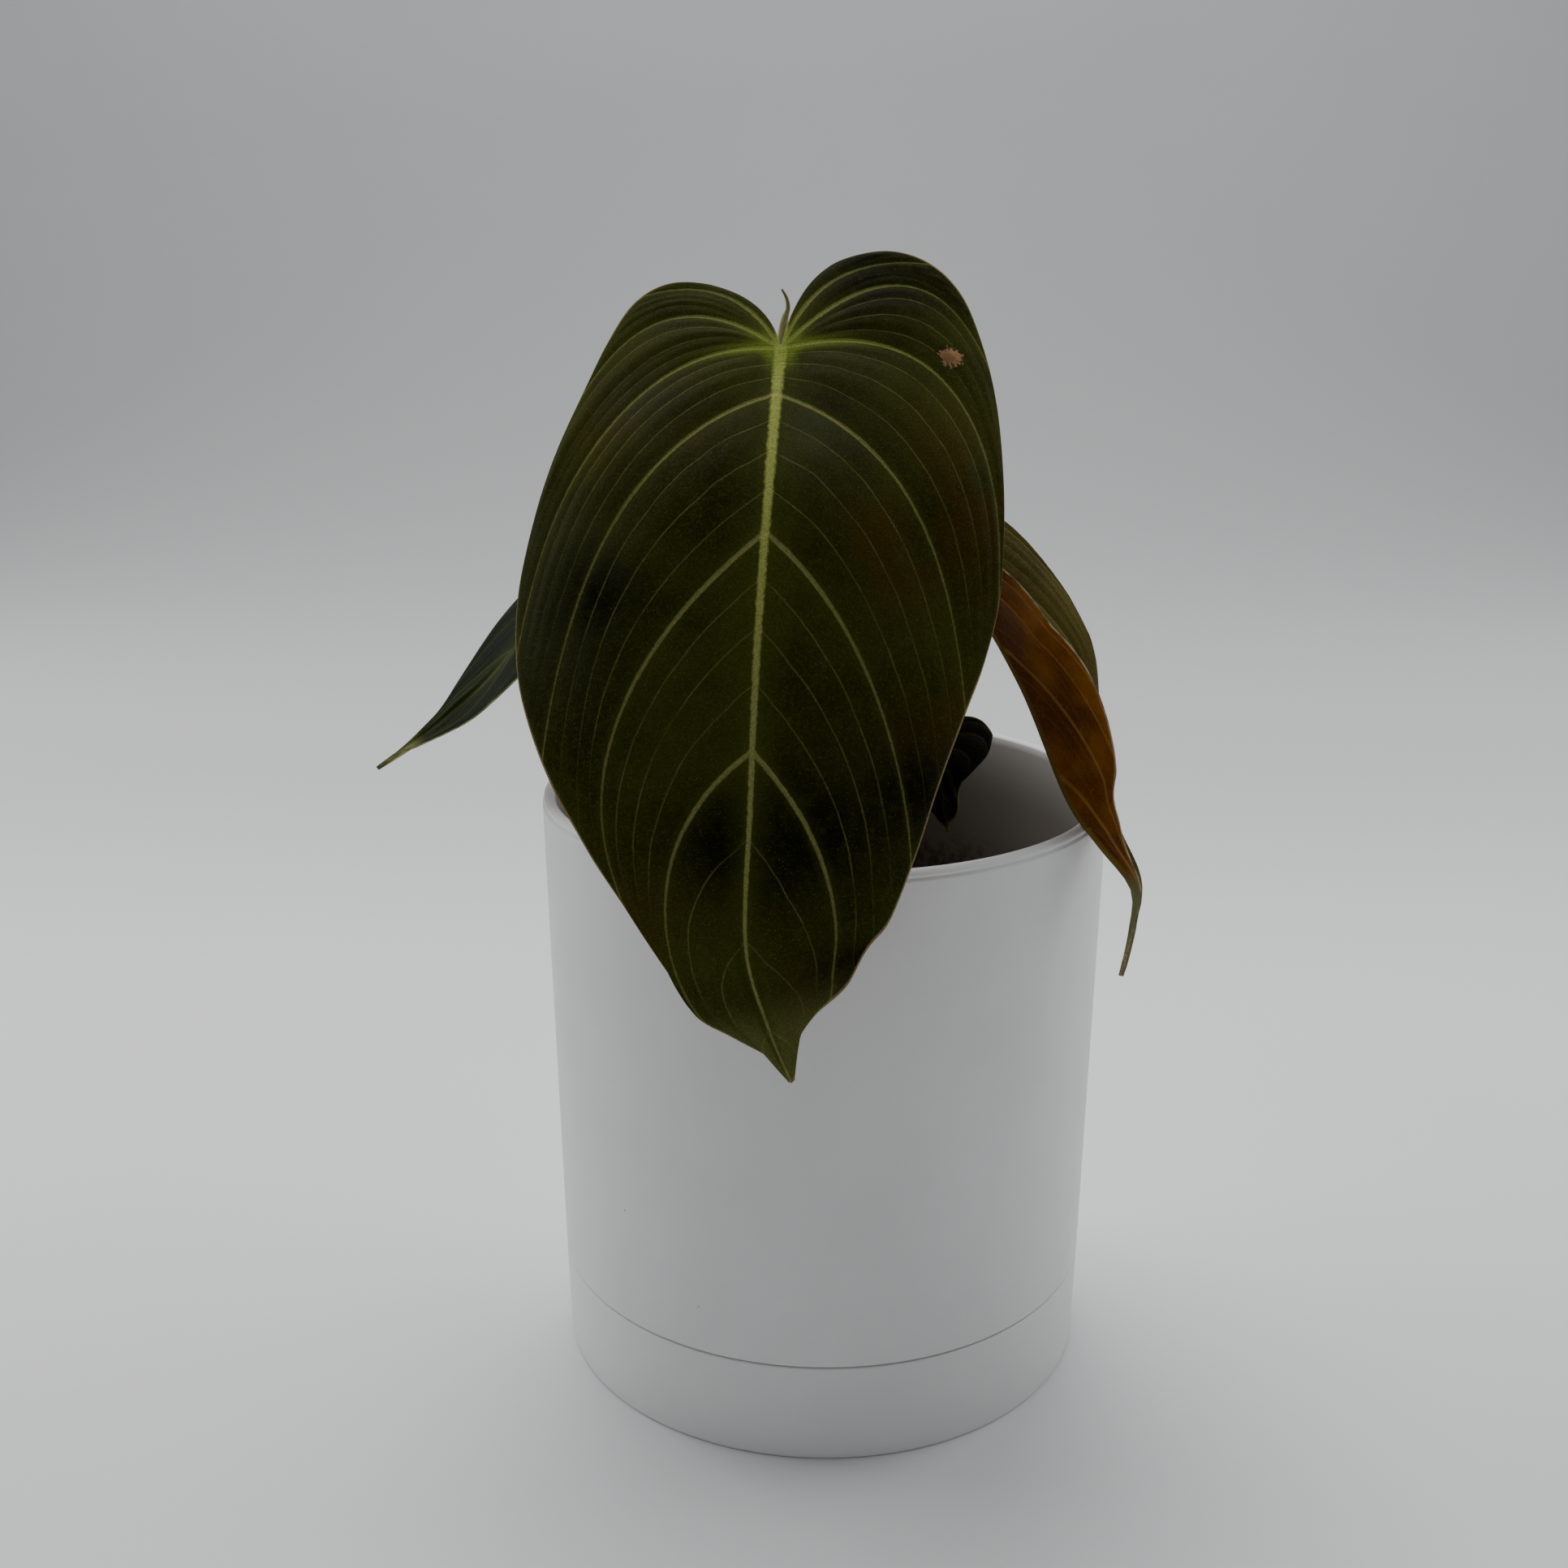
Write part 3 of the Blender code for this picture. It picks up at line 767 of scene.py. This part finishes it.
def makeUpper(name, look, blemishes):
    coat = Recipe(name, Specular_IOR_Level=look["gloss"])
    row, out = coat.veinMap()
    gap, rib, toEdge, way, brown, paintedSheen, fold = [coat.attribute(label) for label in patternNames]
    sides = leafShape["sideVeins"]

    wobble = coat.noise(110.0, 2.0) - 0.5
    frayed = coat.noise(900.0, 2.0) - 0.5
    fromMain = row.toWhole() * gap + wobble * 0.00015 + frayed * 0.0003
    fromSide = ((row + wobble * 0.035) * sides).toWhole() * gap * (1 / sides) + frayed * 0.0002
    mainWidth = out.step(0.0, 1.0, look["veinAtRib"], look["veinAtEdge"])
    inner = row.step(0.6, 1.0) * row.fall(6.75, 6.95)  # the outermost veins lie in the margin
    main = (fromMain / mainWidth).fall(0.35, 1.0) * inner
    glow = (fromMain / (mainWidth * 4.5)).fall(0.0, 1.0) * inner
    broken = coat.noise(90.0, 2.0).step(0.25, 0.6, 0.35, 1.0)
    side = (fromSide / look["sideWidth"]).fall(0.0, 1.0) * gap.step(0.005, 0.014) * broken
    side = side * out.step(0.55, 1.0, 1.0, 0.2) * row.step(0.8, 2.3, 0.3, 1.0)
    ribMask = (rib + frayed * 0.8).fall(0.45, 1.2)
    ribGlow = rib.fall(0.9, 3.4)
    fromNotch = way.absolute()
    heart = fromNotch.fall(0.0, 0.17) * out.fall(0.0, 0.55)
    near = fromNotch.fall(0.0, 0.055) * out.fall(0.0, 0.3)

    cloud = coat.noise(38.0, 4.0)
    fine = coat.noise(420.0)
    coat.colour = coat.mix(cloud.step(0.34, 0.66), look["dark"], look["light"])
    coat.paint(coat.noise(1500.0, 1.0).step(0.42, 0.7) * 0.32, look["nap"])
    coat.paint(brown * coat.noise(75.0, 4.0).step(0.38, 0.62) * look["brownness"], look["brown"])
    # painted sheen: the velvet's grazing-light sheen laid into the colour
    coat.paint(paintedSheen * look["paintedSheenShare"], look["paintedSheen"])
    # painted shade in the folds and hollows of the blade
    coat.paint(fold * 0.92, look["foldShade"])
    coat.paint(fine.step(0.45, 0.75) * 0.35, look["light"])
    coat.paint(rib.fall(1.0, 11.0) * 0.28, look["green"])
    coat.paint(ribGlow * 0.3 + glow * 0.24, look["green"])
    coat.paint(near * (glow + ribGlow).atMost(1.0) * 0.75, look["bright"])
    coat.paint(side * look["sideVein"], look["vein"])
    coat.paint(main * out.step(0.0, 0.8, 0.85, look["mainAtEdge"]), look["vein"])
    coat.paint(ribMask, coat.mix(way.step(0.0, 0.75), look["ribTop"], look["vein"]))
    coat.paint(heart * (ribMask + main).atMost(1.0) * way.step(0.0, 0.08, 0.55, 0.0), look["bright"])
    coat.paint(toEdge.fall(0.00035, 0.00095) * 0.85, look["margin"])
    tipStart = look["tipFrom"]
    coat.paint(way.step(tipStart, tipStart + 0.07) * look["tipShare"], look["tip"])
    # velvet stipple: tiny domed cells, with a few bright specks painted on as glints
    stipple = coat.cells(3200.0)
    coat.paint(stipple.step(0.1, 0.8) * 0.35, look["stipple"])
    coat.paint(coat.noise(4200.0, 0.0).step(0.7, 0.78) * 0.22, look["paintedGlint"])
    for centre, radius, tan in blemishes:
        # a dried star-shaped spot with a darker rim
        shift = coat.vector("SUBTRACT", coat.place, centre)[0]
        reach = Amount(coat, coat.vector("LENGTH", shift)["Value"])
        jag = coat.noise(2.6, 2.0, 0.8, coat.vector("NORMALIZE", shift)[0])
        ratio = reach / (jag * radius * 2.0)
        coat.paint(ratio.fall(1.0, 1.35) * 0.6, look["spotRim"])
        mottled = coat.mix(fine.step(0.3, 0.7), tan, tuple(0.6 * c for c in tan))
        coat.paint(ratio.fall(0.88, 1.02), mottled)
    rough = cloud.step(0.3, 0.7, look["rough"], look["rough"] + 0.08)
    normal = coat.bump(stipple * -0.35 + side * -0.8 + main * -1.0 + fine * 0.5, 0.0001, 0.75)
    return coat.finish(rough, normal)


def makeUnder(name, look):
    coat = Recipe(name, Specular_IOR_Level=0.1)
    row, out = coat.veinMap()
    gap, rib, toEdge, way = [coat.attribute(label) for label in patternNames[:4]]
    sides = leafShape["sideVeins"]
    wobble = coat.noise(160.0) - 0.5
    fromMain = row.toWhole() * gap + wobble * 0.00022
    fromSide = ((row + wobble * 0.1) * sides).toWhole() * gap * (1 / sides)
    main = (fromMain / out.step(0.0, 1.0, 0.0008, 0.00035)).fall(0.3, 1.0)
    side = (fromSide / 0.00036).fall(0.2, 1.0) * gap.step(0.004, 0.01)
    net = coat.cells(900.0, "DISTANCE_TO_EDGE").fall(0.0, 0.09)
    cloud = coat.noise(46.0, 4.0)
    fine = coat.noise(520.0)
    coat.colour = coat.mix(cloud.step(0.36, 0.66), look["underDark"], look["underLight"])
    coat.paint(net * 0.18, look["underVein"])
    coat.paint(fine.step(0.4, 0.7) * 0.25, look["underDark"])
    coat.paint(side * 0.13, look["underVein"])
    coat.paint(main * 0.5, look["underVein"])
    coat.paint(rib.fall(0.9, 1.3), look["keel"])
    coat.paint(toEdge.fall(0.0003, 0.001) * 0.85, look["margin"])
    tipStart = look["tipFrom"]
    coat.paint(way.step(tipStart, tipStart + 0.07) * look["tipShare"], look["tip"])
    normal = coat.bump(main * 1.0 + side * 0.7 + net * 0.3 + fine * 0.3, 0.00016, 0.8)
    return coat.finish(cloud.step(0.3, 0.7, 0.44, 0.56), normal)


def makeRim(name, look):
    coat = Recipe(name, Specular_IOR_Level=0.3)
    tone = coat.noise(300.0)
    coat.colour = coat.mix(tone.step(0.35, 0.7), look["margin"], look["marginDark"])
    return coat.finish(tone.step(0.3, 0.7, 0.5, 0.6), coat.bump(tone, 0.00005))


darkVelvet = {
    "dark": (0.0195, 0.0205, 0.0018),
    "light": (0.045, 0.049, 0.0055),
    "brown": (0.06, 0.028, 0.002),
    "paintedSheen": (0.05, 0.058, 0.03),
    "green": (0.08, 0.092, 0.012),
    "bright": (0.23, 0.31, 0.03),
    "vein": (0.265, 0.27, 0.085),
    "ribTop": (0.48, 0.52, 0.13),
    "margin": (0.3, 0.225, 0.11),
    "marginDark": (0.06, 0.04, 0.015),
    "nap": (0.07, 0.074, 0.016),
    "foldShade": (0.0026, 0.0024, 0.0008),
    "stipple": (0.004, 0.005, 0.001),
    "paintedGlint": (0.2, 0.19, 0.08),
    "spotRim": (0.02, 0.014, 0.006),
    "brownness": 0.75,
    "paintedSheenShare": 0.45,
    "sideVein": 0.34,
    "mainAtEdge": 0.38,
    "veinAtRib": 0.00068,
    "veinAtEdge": 0.00026,
    "sideWidth": 0.00026,
    "gloss": 0.015,
    "rough": 0.5,
    "underDark": (0.075, 0.026, 0.004),
    "underLight": (0.15, 0.06, 0.012),
    "underVein": (0.26, 0.16, 0.06),
    "keel": (0.14, 0.15, 0.055),
    "tip": (0.18, 0.19, 0.06),
    "tipShare": 0.35,
    "tipFrom": 0.86,
}
blueGreen = dict(
    darkVelvet,
    dark=(0.0065, 0.0095, 0.0045), light=(0.013, 0.0185, 0.009), nap=(0.02, 0.026, 0.014),
    paintedSheen=(0.016, 0.021, 0.016), vein=(0.06, 0.072, 0.036), ribTop=(0.07, 0.085, 0.038),
    margin=(0.26, 0.29, 0.11), tip=(0.3, 0.31, 0.12), tipShare=0.9,
)
# partly painted light: the olive upper face is lightened as velvet sheen at a grazing angle, and the orange
# underside is brightened as light shining through; the rest is the leaf's own olive and copper
sheenAndBacklitOliveCopper = dict(
    darkVelvet,
    dark=(0.068, 0.052, 0.012), light=(0.12, 0.095, 0.024), nap=(0.13, 0.11, 0.04),
    brown=(0.12, 0.062, 0.014), vein=(0.2, 0.175, 0.06), ribTop=(0.2, 0.185, 0.065),
    underDark=(0.095, 0.026, 0.001), underLight=(0.27, 0.098, 0.007), underVein=(0.42, 0.215, 0.05),
    margin=(0.46, 0.33, 0.19), keel=(0.17, 0.11, 0.02), tip=(0.21, 0.225, 0.11),
    tipShare=0.95, tipFrom=0.78,
)
# the small leaf sits in the pot's shadow, so its colours are painted near black as shade
paintedShadowBlack = dict(
    darkVelvet,
    dark=(0.004, 0.004, 0.003), light=(0.0085, 0.008, 0.0055), bright=(0.02, 0.024, 0.008),
    nap=(0.01, 0.01, 0.006),
    vein=(0.03, 0.034, 0.018), ribTop=(0.04, 0.045, 0.02), green=(0.012, 0.015, 0.006),
    margin=(0.2, 0.21, 0.05), underDark=(0.035, 0.022, 0.008), underLight=(0.06, 0.04, 0.014),
)

leaves = {
    "leafFront": {
        "node": "leaf_front",
        "midrib": [
            (-0.153, -0.598, 0.843), (-0.187, -0.97, 0.641), (-0.219, -1.22, 0.409),
            (-0.239, -1.362, 0.17), (-0.252, -1.417, -0.037), (-0.192, -1.422, -0.166),
            (-0.121, -1.402, -0.272),
        ],
        "across": (1, 0, 0),
        "halfWidths": [0.046, 0.046],
        "curl": [[-0.35, -0.45]] * 2,
        "lobeBack": (0, -0.35, -0.1),
        "look": darkVelvet,
        "rows": 26,
        "columns": 46,
        "spots": {
            "brown": [
                (0.21, 0.77, 0.18), (0.53, 0.65, 0.14), (0.89, 0.41, 0.14), (0.12, -0.5, 0.14),
                (0.73, -0.45, 0.12), (0.3, 0.5, 0.1),
            ],
            "paintedSheen": [
                (0.42, -0.86, 0.16), (0.14, 0.14, 0.12), (0.3, -0.8, 0.12), (0.1, -0.55, 0.1),
                (0.62, 0.75, 0.1),
            ],
            # spots of painted shade where the blade folds
            "fold": [
                (-0.14, 0.34, 0.14), (0.68, -0.1, 0.11), (0.67, 0.28, 0.13), (0.38, -0.66, 0.085),
                (0.89, 0.41, 0.12), (0.6, 0.66, 0.1),
            ],
        },
        "blemishes": [
            ("right", -0.023, 0.715, 0.0024, (0.36, 0.2, 0.095)),
            ("left", 0.06, 0.665, 0.0007, (0.32, 0.22, 0.11)),
        ],
        "wave": 1.3,
    },
    "leafLeft": {
        "node": "leaf_left",
        "midrib": [
            (-0.441, 0.142, 0.575), (-0.661, 0.126, 0.497), (-0.887, 0.11, 0.404), (-1.062, 0.094, 0.279),
            (-1.215, 0.094, 0.18), (-1.396, 0.063, 0.098), (-1.602, 0.031, 0.024),
        ],
        "across": (0.15, -1, -0.2),
        "halfWidths": [0.031, 0.031, 0.031, 0.029, 0.0257, 0.022, 0.0176, 0.009, 0.004],
        "fold": [[0.0, -0.12, 0.2, 0.39], [0.0, 0.05, 0.03, -0.04]],
        "look": blueGreen,
        "rows": 18,
        "columns": 30,
        "spots": {"brown": [(0.3, 0.5, 0.15)], "paintedSheen": [(0.6, 0.4, 0.4), (0.6, -0.4, 0.3)]},
        "wave": 4.1,
    },
    "leafRight": {
        "node": "leaf_right",
        "midrib": [
            (0.24, -0.08, 0.47), (0.472, -0.142, 0.396), (0.656, -0.283, 0.241), (0.8, -0.47, 0.05),
            (0.896, -0.56, -0.024), (1.002, -0.62, -0.097), (1.0, -0.64, -0.174), (0.975, -0.64, -0.263),
        ],
        "across": (0, 1, 0),
        "halfWidths": [0.0251, 0.024, 0.0247, 0.0235, 0.0205, 0.018, 0.0105, 0.0035, 0.0038],
        "fold": [[0.32, 0.38, 0.9, 0.7], [0.65, 0.82, 0.6, 0.8]],
        "curl": [[0.1, 0.1]] * 2,
        "look": sheenAndBacklitOliveCopper,
        "rows": 20,
        "columns": 30,
        "spots": {"brown": [(0.5, 0.5, 0.2)]},
        "wave": 7.7,
    },
    "leafSmall": {
        "node": "leaf_small",
        "midrib": [
            (0.386, 0.016, 0.088), (0.402, -0.031, 0.032), (0.417, -0.063, -0.028), (0.439, -0.094, -0.084),
        ],
        "across": (1, 0.2, 0),
        "halfWidths": [0.0175, 0.013, 0.0065, 0.006, 0.006],
        "curl": [[-0.5, -0.5]] * 2,
        "look": paintedShadowBlack,
        "rows": 12,
        "columns": 20,
        "spots": {},
        "wave": 9.2,
    },
}


for name, leaf in leaves.items():
    look = leaf["look"]
    leaf["blade"] = Blade(leaf)
    blemishes = []
    for side, u, w, radius, tan in leaf.get("blemishes", []):
        blemishes.append((tuple(leaf["blade"].place(side, u, w)[0]), radius, tan))
    upper = makeUpper(name + "Upper", look, blemishes)
    makeBlade(name, leaf, [upper, makeUnder(name + "Under", look), makeRim(name + "Margin", look)])
    print(name, "shaped")


# stalks, stem, sheaths and roots
stalkLooks = {  # pale, dark and fleck colours, and the scale of the flecks
    "petioleGreen": [(0.15, 0.21, 0.06), (0.07, 0.105, 0.026), (0.23, 0.28, 0.11), 420.0],
    "stemGreen": [(0.11, 0.135, 0.045), (0.06, 0.05, 0.022), (0.17, 0.13, 0.07), 420.0],
    "youngLeafBrown": [(0.4, 0.37, 0.15), (0.23, 0.215, 0.075), (0.44, 0.4, 0.18), 420.0],
    "rootBrown": [(0.2, 0.12, 0.07), (0.09, 0.05, 0.028), (0.26, 0.19, 0.13), 900.0],
}
stalkShape = {
    "sides": 20,
    "knobble": 0.035,  # unevenness, as a share of the radius
    "grooveWidth": 0.45,
    "endDome": 0.15,
}


def makeStalkMaterial(name):
    pale, dark, fleckColour, fleckScale = stalkLooks[name]
    coat = Recipe(name, Specular_IOR_Level=0.35)
    streak = coat.streaks((900.0, 900.0, 45.0))
    cloud = coat.noise(120.0)
    fleck = coat.cells(fleckScale).fall(0.1, 0.24)
    coat.colour = coat.mix(cloud.step(0.35, 0.68), pale, dark)
    coat.paint(streak.step(0.45, 0.7) * 0.45, dark)
    coat.paint(fleck * 0.55, fleckColour)
    normal = coat.bump(streak * 0.7 + fleck * 0.5, 0.00018, 0.8)
    return coat.finish(cloud.step(0.3, 0.7, 0.42, 0.58), normal)


def makeStalkPiece(name, node, slotName, points, radii, material, steps, groove=0.0):
    # rings of points along a smooth curve, closed by a low dome at each end
    s = stalkShape
    sides = s["sides"]
    rings = []
    faces = []
    centres = [Vector(along(points, (len(points) - 1) * i / steps)) for i in range(steps + 1)]
    upright = Vector((0.0, 1.0, 0.03))
    for i, centre in enumerate(centres):
        ahead = (centres[min(i + 1, steps)] - centres[max(i - 1, 0)]).normalized()
        across = ahead.cross(upright).normalized()
        other = across.cross(ahead).normalized()
        radius = readAlong(radii, i / steps) * (1 + s["knobble"] * noise.noise(centre * 260.0))
        for k in range(sides):
            turn = 2 * pi * k / sides
            dent = 1 - groove * exp(-((turn - 1.5 * pi) / s["grooveWidth"]) ** 2)
            rings.append(centre + (across * cos(turn) + other * sin(turn)) * radius * dent)
    for i in range(steps):
        for k in range(sides):
            a = i * sides + k
            b = i * sides + (k + 1) % sides
            faces.append((a, a + sides, b + sides, b))
    for end, neighbour, radius in ((0, 1, radii[0]), (steps, steps - 1, radii[-1])):
        outwards = (centres[end] - centres[neighbour]).normalized()
        cap = len(rings)
        rings.append(centres[end] + outwards * radius * s["endDome"])
        for k in range(sides):
            edge = [end * sides + k, end * sides + (k + 1) % sides]
            faces.append((*(edge[::-1] if end else edge), cap))
    piece = meshPiece(name, rings, faces)
    smooth(piece)
    addPiece(piece, node, slotName, material)


fit = potShape["fit"]
stemAboveSoil = stemHigh[2] - soilTop
petioleGreen = makeStalkMaterial("petioleGreen")
petioles = {
    "petioleFront": {
        "node": "petiole_front", "leaf": "leafFront", "turn": -0.45 * pi, "lift": 0.0,
        "bends": [(0.05, -0.17, 0.14), (0.02, -0.24, 0.48), (-0.08, -0.36, 0.74)],
        "footRadius": 0.0024, "headRadius": 0.0018,
    },
    "petioleLeft": {
        "node": "petiole_left", "leaf": "leafLeft", "turn": 0.9 * pi, "lift": 0.001,
        "bends": [(-0.2, 0.06, 0.1), (-0.33, 0.1, 0.36)],
        "footRadius": 0.0021, "headRadius": 0.0015,
    },
    "petioleRight": {
        "node": "petiole_right", "leaf": "leafRight", "turn": 0.14 * pi, "lift": -0.002,
        "bends": [(0.14, 0.08, 0.06), (0.16, 0.04, 0.3)],
        "footRadius": 0.002, "headRadius": 0.0015,
    },
    "petioleSmall": {
        "node": "petiole_small", "leaf": "leafSmall", "turn": -0.2 * pi, "lift": -0.004,
        "bends": [(0.22, -0.05, -0.12), (0.36, 0.07, 0.02)],
        "footRadius": 0.0014, "headRadius": 0.001,
    },
}
for name, s in petioles.items():
    foot = s["footRadius"]
    head = s["headRadius"]
    reach = stemRadius + fit + foot
    footHeight = soilTop + 0.6 * stemAboveSoil + s["lift"]
    start = Vector((reach * cos(s["turn"]), reach * sin(s["turn"]), footHeight))
    joint, _, _, up = leaves[s["leaf"]]["blade"].frame(0.0)
    # the head rises from under the blade and ends inside it
    path = [start, *[plantPoint(*bend) for bend in s["bends"]], joint - up * 3 * head, joint - up * 0.0006]
    radii = [foot * 1.05, foot * 0.92, head, head * 0.96, head * 1.08]
    makeStalkPiece(name, s["node"], "petiole_green", path, radii, petioleGreen, 80, 0.1)

spearFoot = Vector((0.0, stemRadius + fit + 0.0019, soilTop + 0.5 * stemAboveSoil))
spearBends = [
    (-0.08, 0.16, 0.18), (-0.17, 0.15, 0.55), (-0.15, -0.06, 0.84), (-0.13, -0.16, 0.905),
    (-0.15, -0.17, 0.935),
]
makeStalkPiece(
    "newLeafSpear", "new_leaf_spear", "young_leaf", [spearFoot, *[plantPoint(*bend) for bend in spearBends]],
    [0.0019, 0.0021, 0.0014, 0.0005, 0.0002], makeStalkMaterial("youngLeafBrown"), 90, 0.12,
)


def makeStemPiece():
    knuckle = 0.0006
    neck = 0.94 * stemRadius
    step = stemAboveSoil / 4
    top = stemHigh[2]
    foot = stemLow[2]
    corners = [
        (0.0, top), (0.5 * neck, top - 0.1 * step), (0.85 * neck, top - 0.5 * step), (neck, top - step),
        (neck - knuckle, top - 1.6 * step), (neck, top - 2.0 * step), (neck - knuckle, top - 2.6 * step),
        (stemRadius, soilTop), (0.8 * stemRadius, foot + 0.4 * stemRadius), (0.5 * stemRadius, foot),
        (0.0, foot),
    ]
    piece = turnedPiece("stemKnuckled", rounded(corners, {i: 0.0007 for i in range(1, 10)}), 64)
    for point in piece.data.vertices:
        out = Vector((point.co.x, point.co.y, 0.0))
        if out.length > 0.0005:
            point.co += out.normalized() * 0.00022 * noise.noise(point.co * 620.0)
    smooth(piece)
    addPiece(piece, "stem", "stem_bark", makeStalkMaterial("stemGreen"))


makeStemPiece()


def makePaper(name):
    coat = Recipe(name, Specular_IOR_Level=0.2)
    streak = coat.streaks((1500.0, 1500.0, 70.0))
    cloud = coat.noise(160.0, 4.0)
    coat.colour = coat.mix(cloud.step(0.35, 0.65), (0.29, 0.19, 0.1), (0.13, 0.075, 0.036))
    coat.paint(streak.step(0.5, 0.62) * 0.55, (0.085, 0.048, 0.024))
    return coat.finish(streak.step(0.3, 0.7, 0.7, 0.9), coat.bump(streak, 0.0002))


driedPaper = makePaper("driedPaper")
sheathShape = {
    "rows": 46,
    "columns": 26,
    "taper": 0.9,  # how much of the width is gone at the top
    "standOff": 0.0008,
    "thickness": 0.0004,
    "crinkle": 0.0005,
    "edgeCurl": 0.0012,
}


def makeSheathPiece(name, node, turn, spread, height, flare, seed):
    s = sheathShape
    rows = s["rows"]
    columns = s["columns"]
    foot = soilTop + s["standOff"]
    points = []
    faces = []
    for layer in (0.5, -0.5):
        for i in range(rows + 1):
            rise = i / rows
            width = spread * (1 - s["taper"] * rise ** 1.6)
            for j in range(columns + 1):
                share = j / columns - 0.5
                angle = turn + width * share
                crinkle = s["crinkle"] * noise.noise(Vector((share * 9, rise * 7, seed))) * rise
                edgeCurl = s["edgeCurl"] * (2 * share) ** 4 * rise
                radius = stemRadius + fit + s["standOff"] + flare * rise * rise + crinkle + edgeCurl
                radius += layer * s["thickness"]
                points.append((radius * cos(angle), radius * sin(angle), foot + height * rise))
    size = columns + 1
    low = (rows + 1) * size
    for i in range(rows):
        for j in range(columns):
            a = i * size + j
            faces.append((a, a + 1, a + size + 1, a + size))
            faces.append((low + a, low + a + size, low + a + size + 1, low + a + 1))
    sideEdges = [(i * size + j, size) for i in range(rows) for j in (0, columns)]
    endEdges = [(i * size + j, 1) for j in range(columns) for i in (0, rows)]
    for a, on in sideEdges + endEdges:
        faces.append((a, a + on, low + a + on, low + a))
    piece = meshPiece(name, points, faces)
    faceOutwards(piece)
    smooth(piece, 50)
    addPiece(piece, node, "dried_sheath", driedPaper)


makeSheathPiece("driedSheathLow", "dried_sheath_low", 1.25 * pi, 1.1, 0.034, 0.01, 2.0)
makeSheathPiece("driedSheathHigh", "dried_sheath_high", 0.7 * pi, 0.5, 0.05, 0.012, 5.0)

rootShape = {
    "radius": 0.0011,
    "tip": 0.0006,
    "path": [(0.0, 0.005, 0.0), (0.35, 0.0052, 0.1), (0.7, 0.0024, 0.22), (1.0, 0.002, 0.4)],
    "roots": [
        ("aerialRootA", "aerial_root_a", 1.62 * pi, 0.03),
        ("aerialRootB", "aerial_root_b", 0.3 * pi, 0.024),
    ],
}
rootBrown = makeStalkMaterial("rootBrown")
thick = rootShape["radius"]
for name, node, turn, length in rootShape["roots"]:
    path = []
    for share, rise, swing in rootShape["path"]:
        radius = stemRadius + fit + thick + share * length
        path.append(Vector((radius * cos(turn + swing), radius * sin(turn + swing), soilTop + rise)))
    makeStalkPiece(name, node, "root_bark", path, [thick, thick, rootShape["tip"]], rootBrown, 40)
print("stalks, stem, sheaths and roots made")

# floor, light and camera
studio = {
    "floorSize": 9.0,
    "floorRows": 120,
    "bendFrom": 0.9,  # behind this the floor sweeps up into a backdrop
    "bendRise": 0.34,
    "floorColour": (0.8, 0.805, 0.815),
    # painted shade: the floor is painted greyer behind the object
    "floorShade": 0.73,  # tone of the floor behind the object
    "worldColour": (0.985, 1.0, 1.015),
    "worldBack": 0.3,  # brightness at the horizon behind the object
    "worldUp": 0.22,  # how much brighter it is overhead
    "worldFront": 0.1,  # how much the side behind the camera falls off
    "lights": [
        ("topLight", (-0.1, 0.42, 1.1), 0.8, 8.0),
        ("leftLight", (-0.95, 0.42, 0.55), 0.8, 4.5),
        ("rightLight", (0.95, 0.42, 0.6), 0.8, 4.2),
    ],
    "backdropLight": ("backdropLight", (0.0, 1.3, 2.3), 1.6, 14.0),
    "backdropAim": (0.0, 3.0, 0.9),
    "cameraPlace": (-0.00909, -0.39454, 0.24966),
    "cameraTilt": 90.0 - 16.3378,
    "lens": 36.0 * 2228.33 / 1932.0,
}


def makeFloor():
    deselectAll()
    bpy.ops.mesh.primitive_grid_add(
        x_subdivisions=2, y_subdivisions=studio["floorRows"], size=studio["floorSize"]
    )
    floor = bpy.context.object
    floor.name = "studioFloor"
    for point in floor.data.vertices:
        point.co.z = studio["bendRise"] * max(point.co.y - studio["bendFrom"], 0.0) ** 2
    smooth(floor)
    coat = Recipe("paleFloor", Specular_IOR_Level=0.2)
    away = coat.parts(coat.place)[1]
    near = studio["floorColour"]
    coat.colour = coat.mix(coat.noise(6.0, 2.0).step(0.3, 0.7), near, tuple(0.985 * c for c in near))
    # painted shade: the floor is painted a little grey behind the object, and paler again up the backdrop
    backShade = away.step(0.12, 0.5) * away.step(1.1, 2.4, 1.0, 0.15)
    coat.paint(backShade, tuple(studio["floorShade"] * c for c in near))
    coat.fill(Base_Color=coat.colour, Roughness=0.75)
    floor.data.materials.append(coat.owner)


def addLight(name, place, size, energy, target):
    data = bpy.data.lights.new(name, "AREA")
    data.shape = "DISK"
    data.size = size
    data.energy = energy
    light = addObject(name, data)
    light.location = place
    light.rotation_euler = (Vector(target) - Vector(place)).to_track_quat("-Z", "Y").to_euler()


makeFloor()
for light in studio["lights"]:
    addLight(*light, (0.0, 0.0, 0.5 * rimHeight))
addLight(*studio["backdropLight"], studio["backdropAim"])
world = bpy.data.worlds.new("studioWorld")
bpy.context.scene.world = world
sky = Recipe(world, "Background")
_, facing, height = sky.parts(sky.coordinates["Generated"])
overhead = height.atLeast(0.0) * studio["worldUp"]
glow = overhead + (facing - 1.0) * studio["worldFront"] + studio["worldBack"]
sky.fill(Color=studio["worldColour"], Strength=glow)

cameraData = bpy.data.cameras.new("studioCamera")
cameraData.lens = studio["lens"]
cameraData.sensor_width = 36.0
cameraData.sensor_fit = "HORIZONTAL"
cameraData.clip_start = 0.01
camera = addObject("studioCamera", cameraData)
camera.location = studio["cameraPlace"]
camera.rotation_euler = (radians(studio["cameraTilt"]), 0.0, 0.0)
bpy.context.scene.camera = camera
print("studio set")
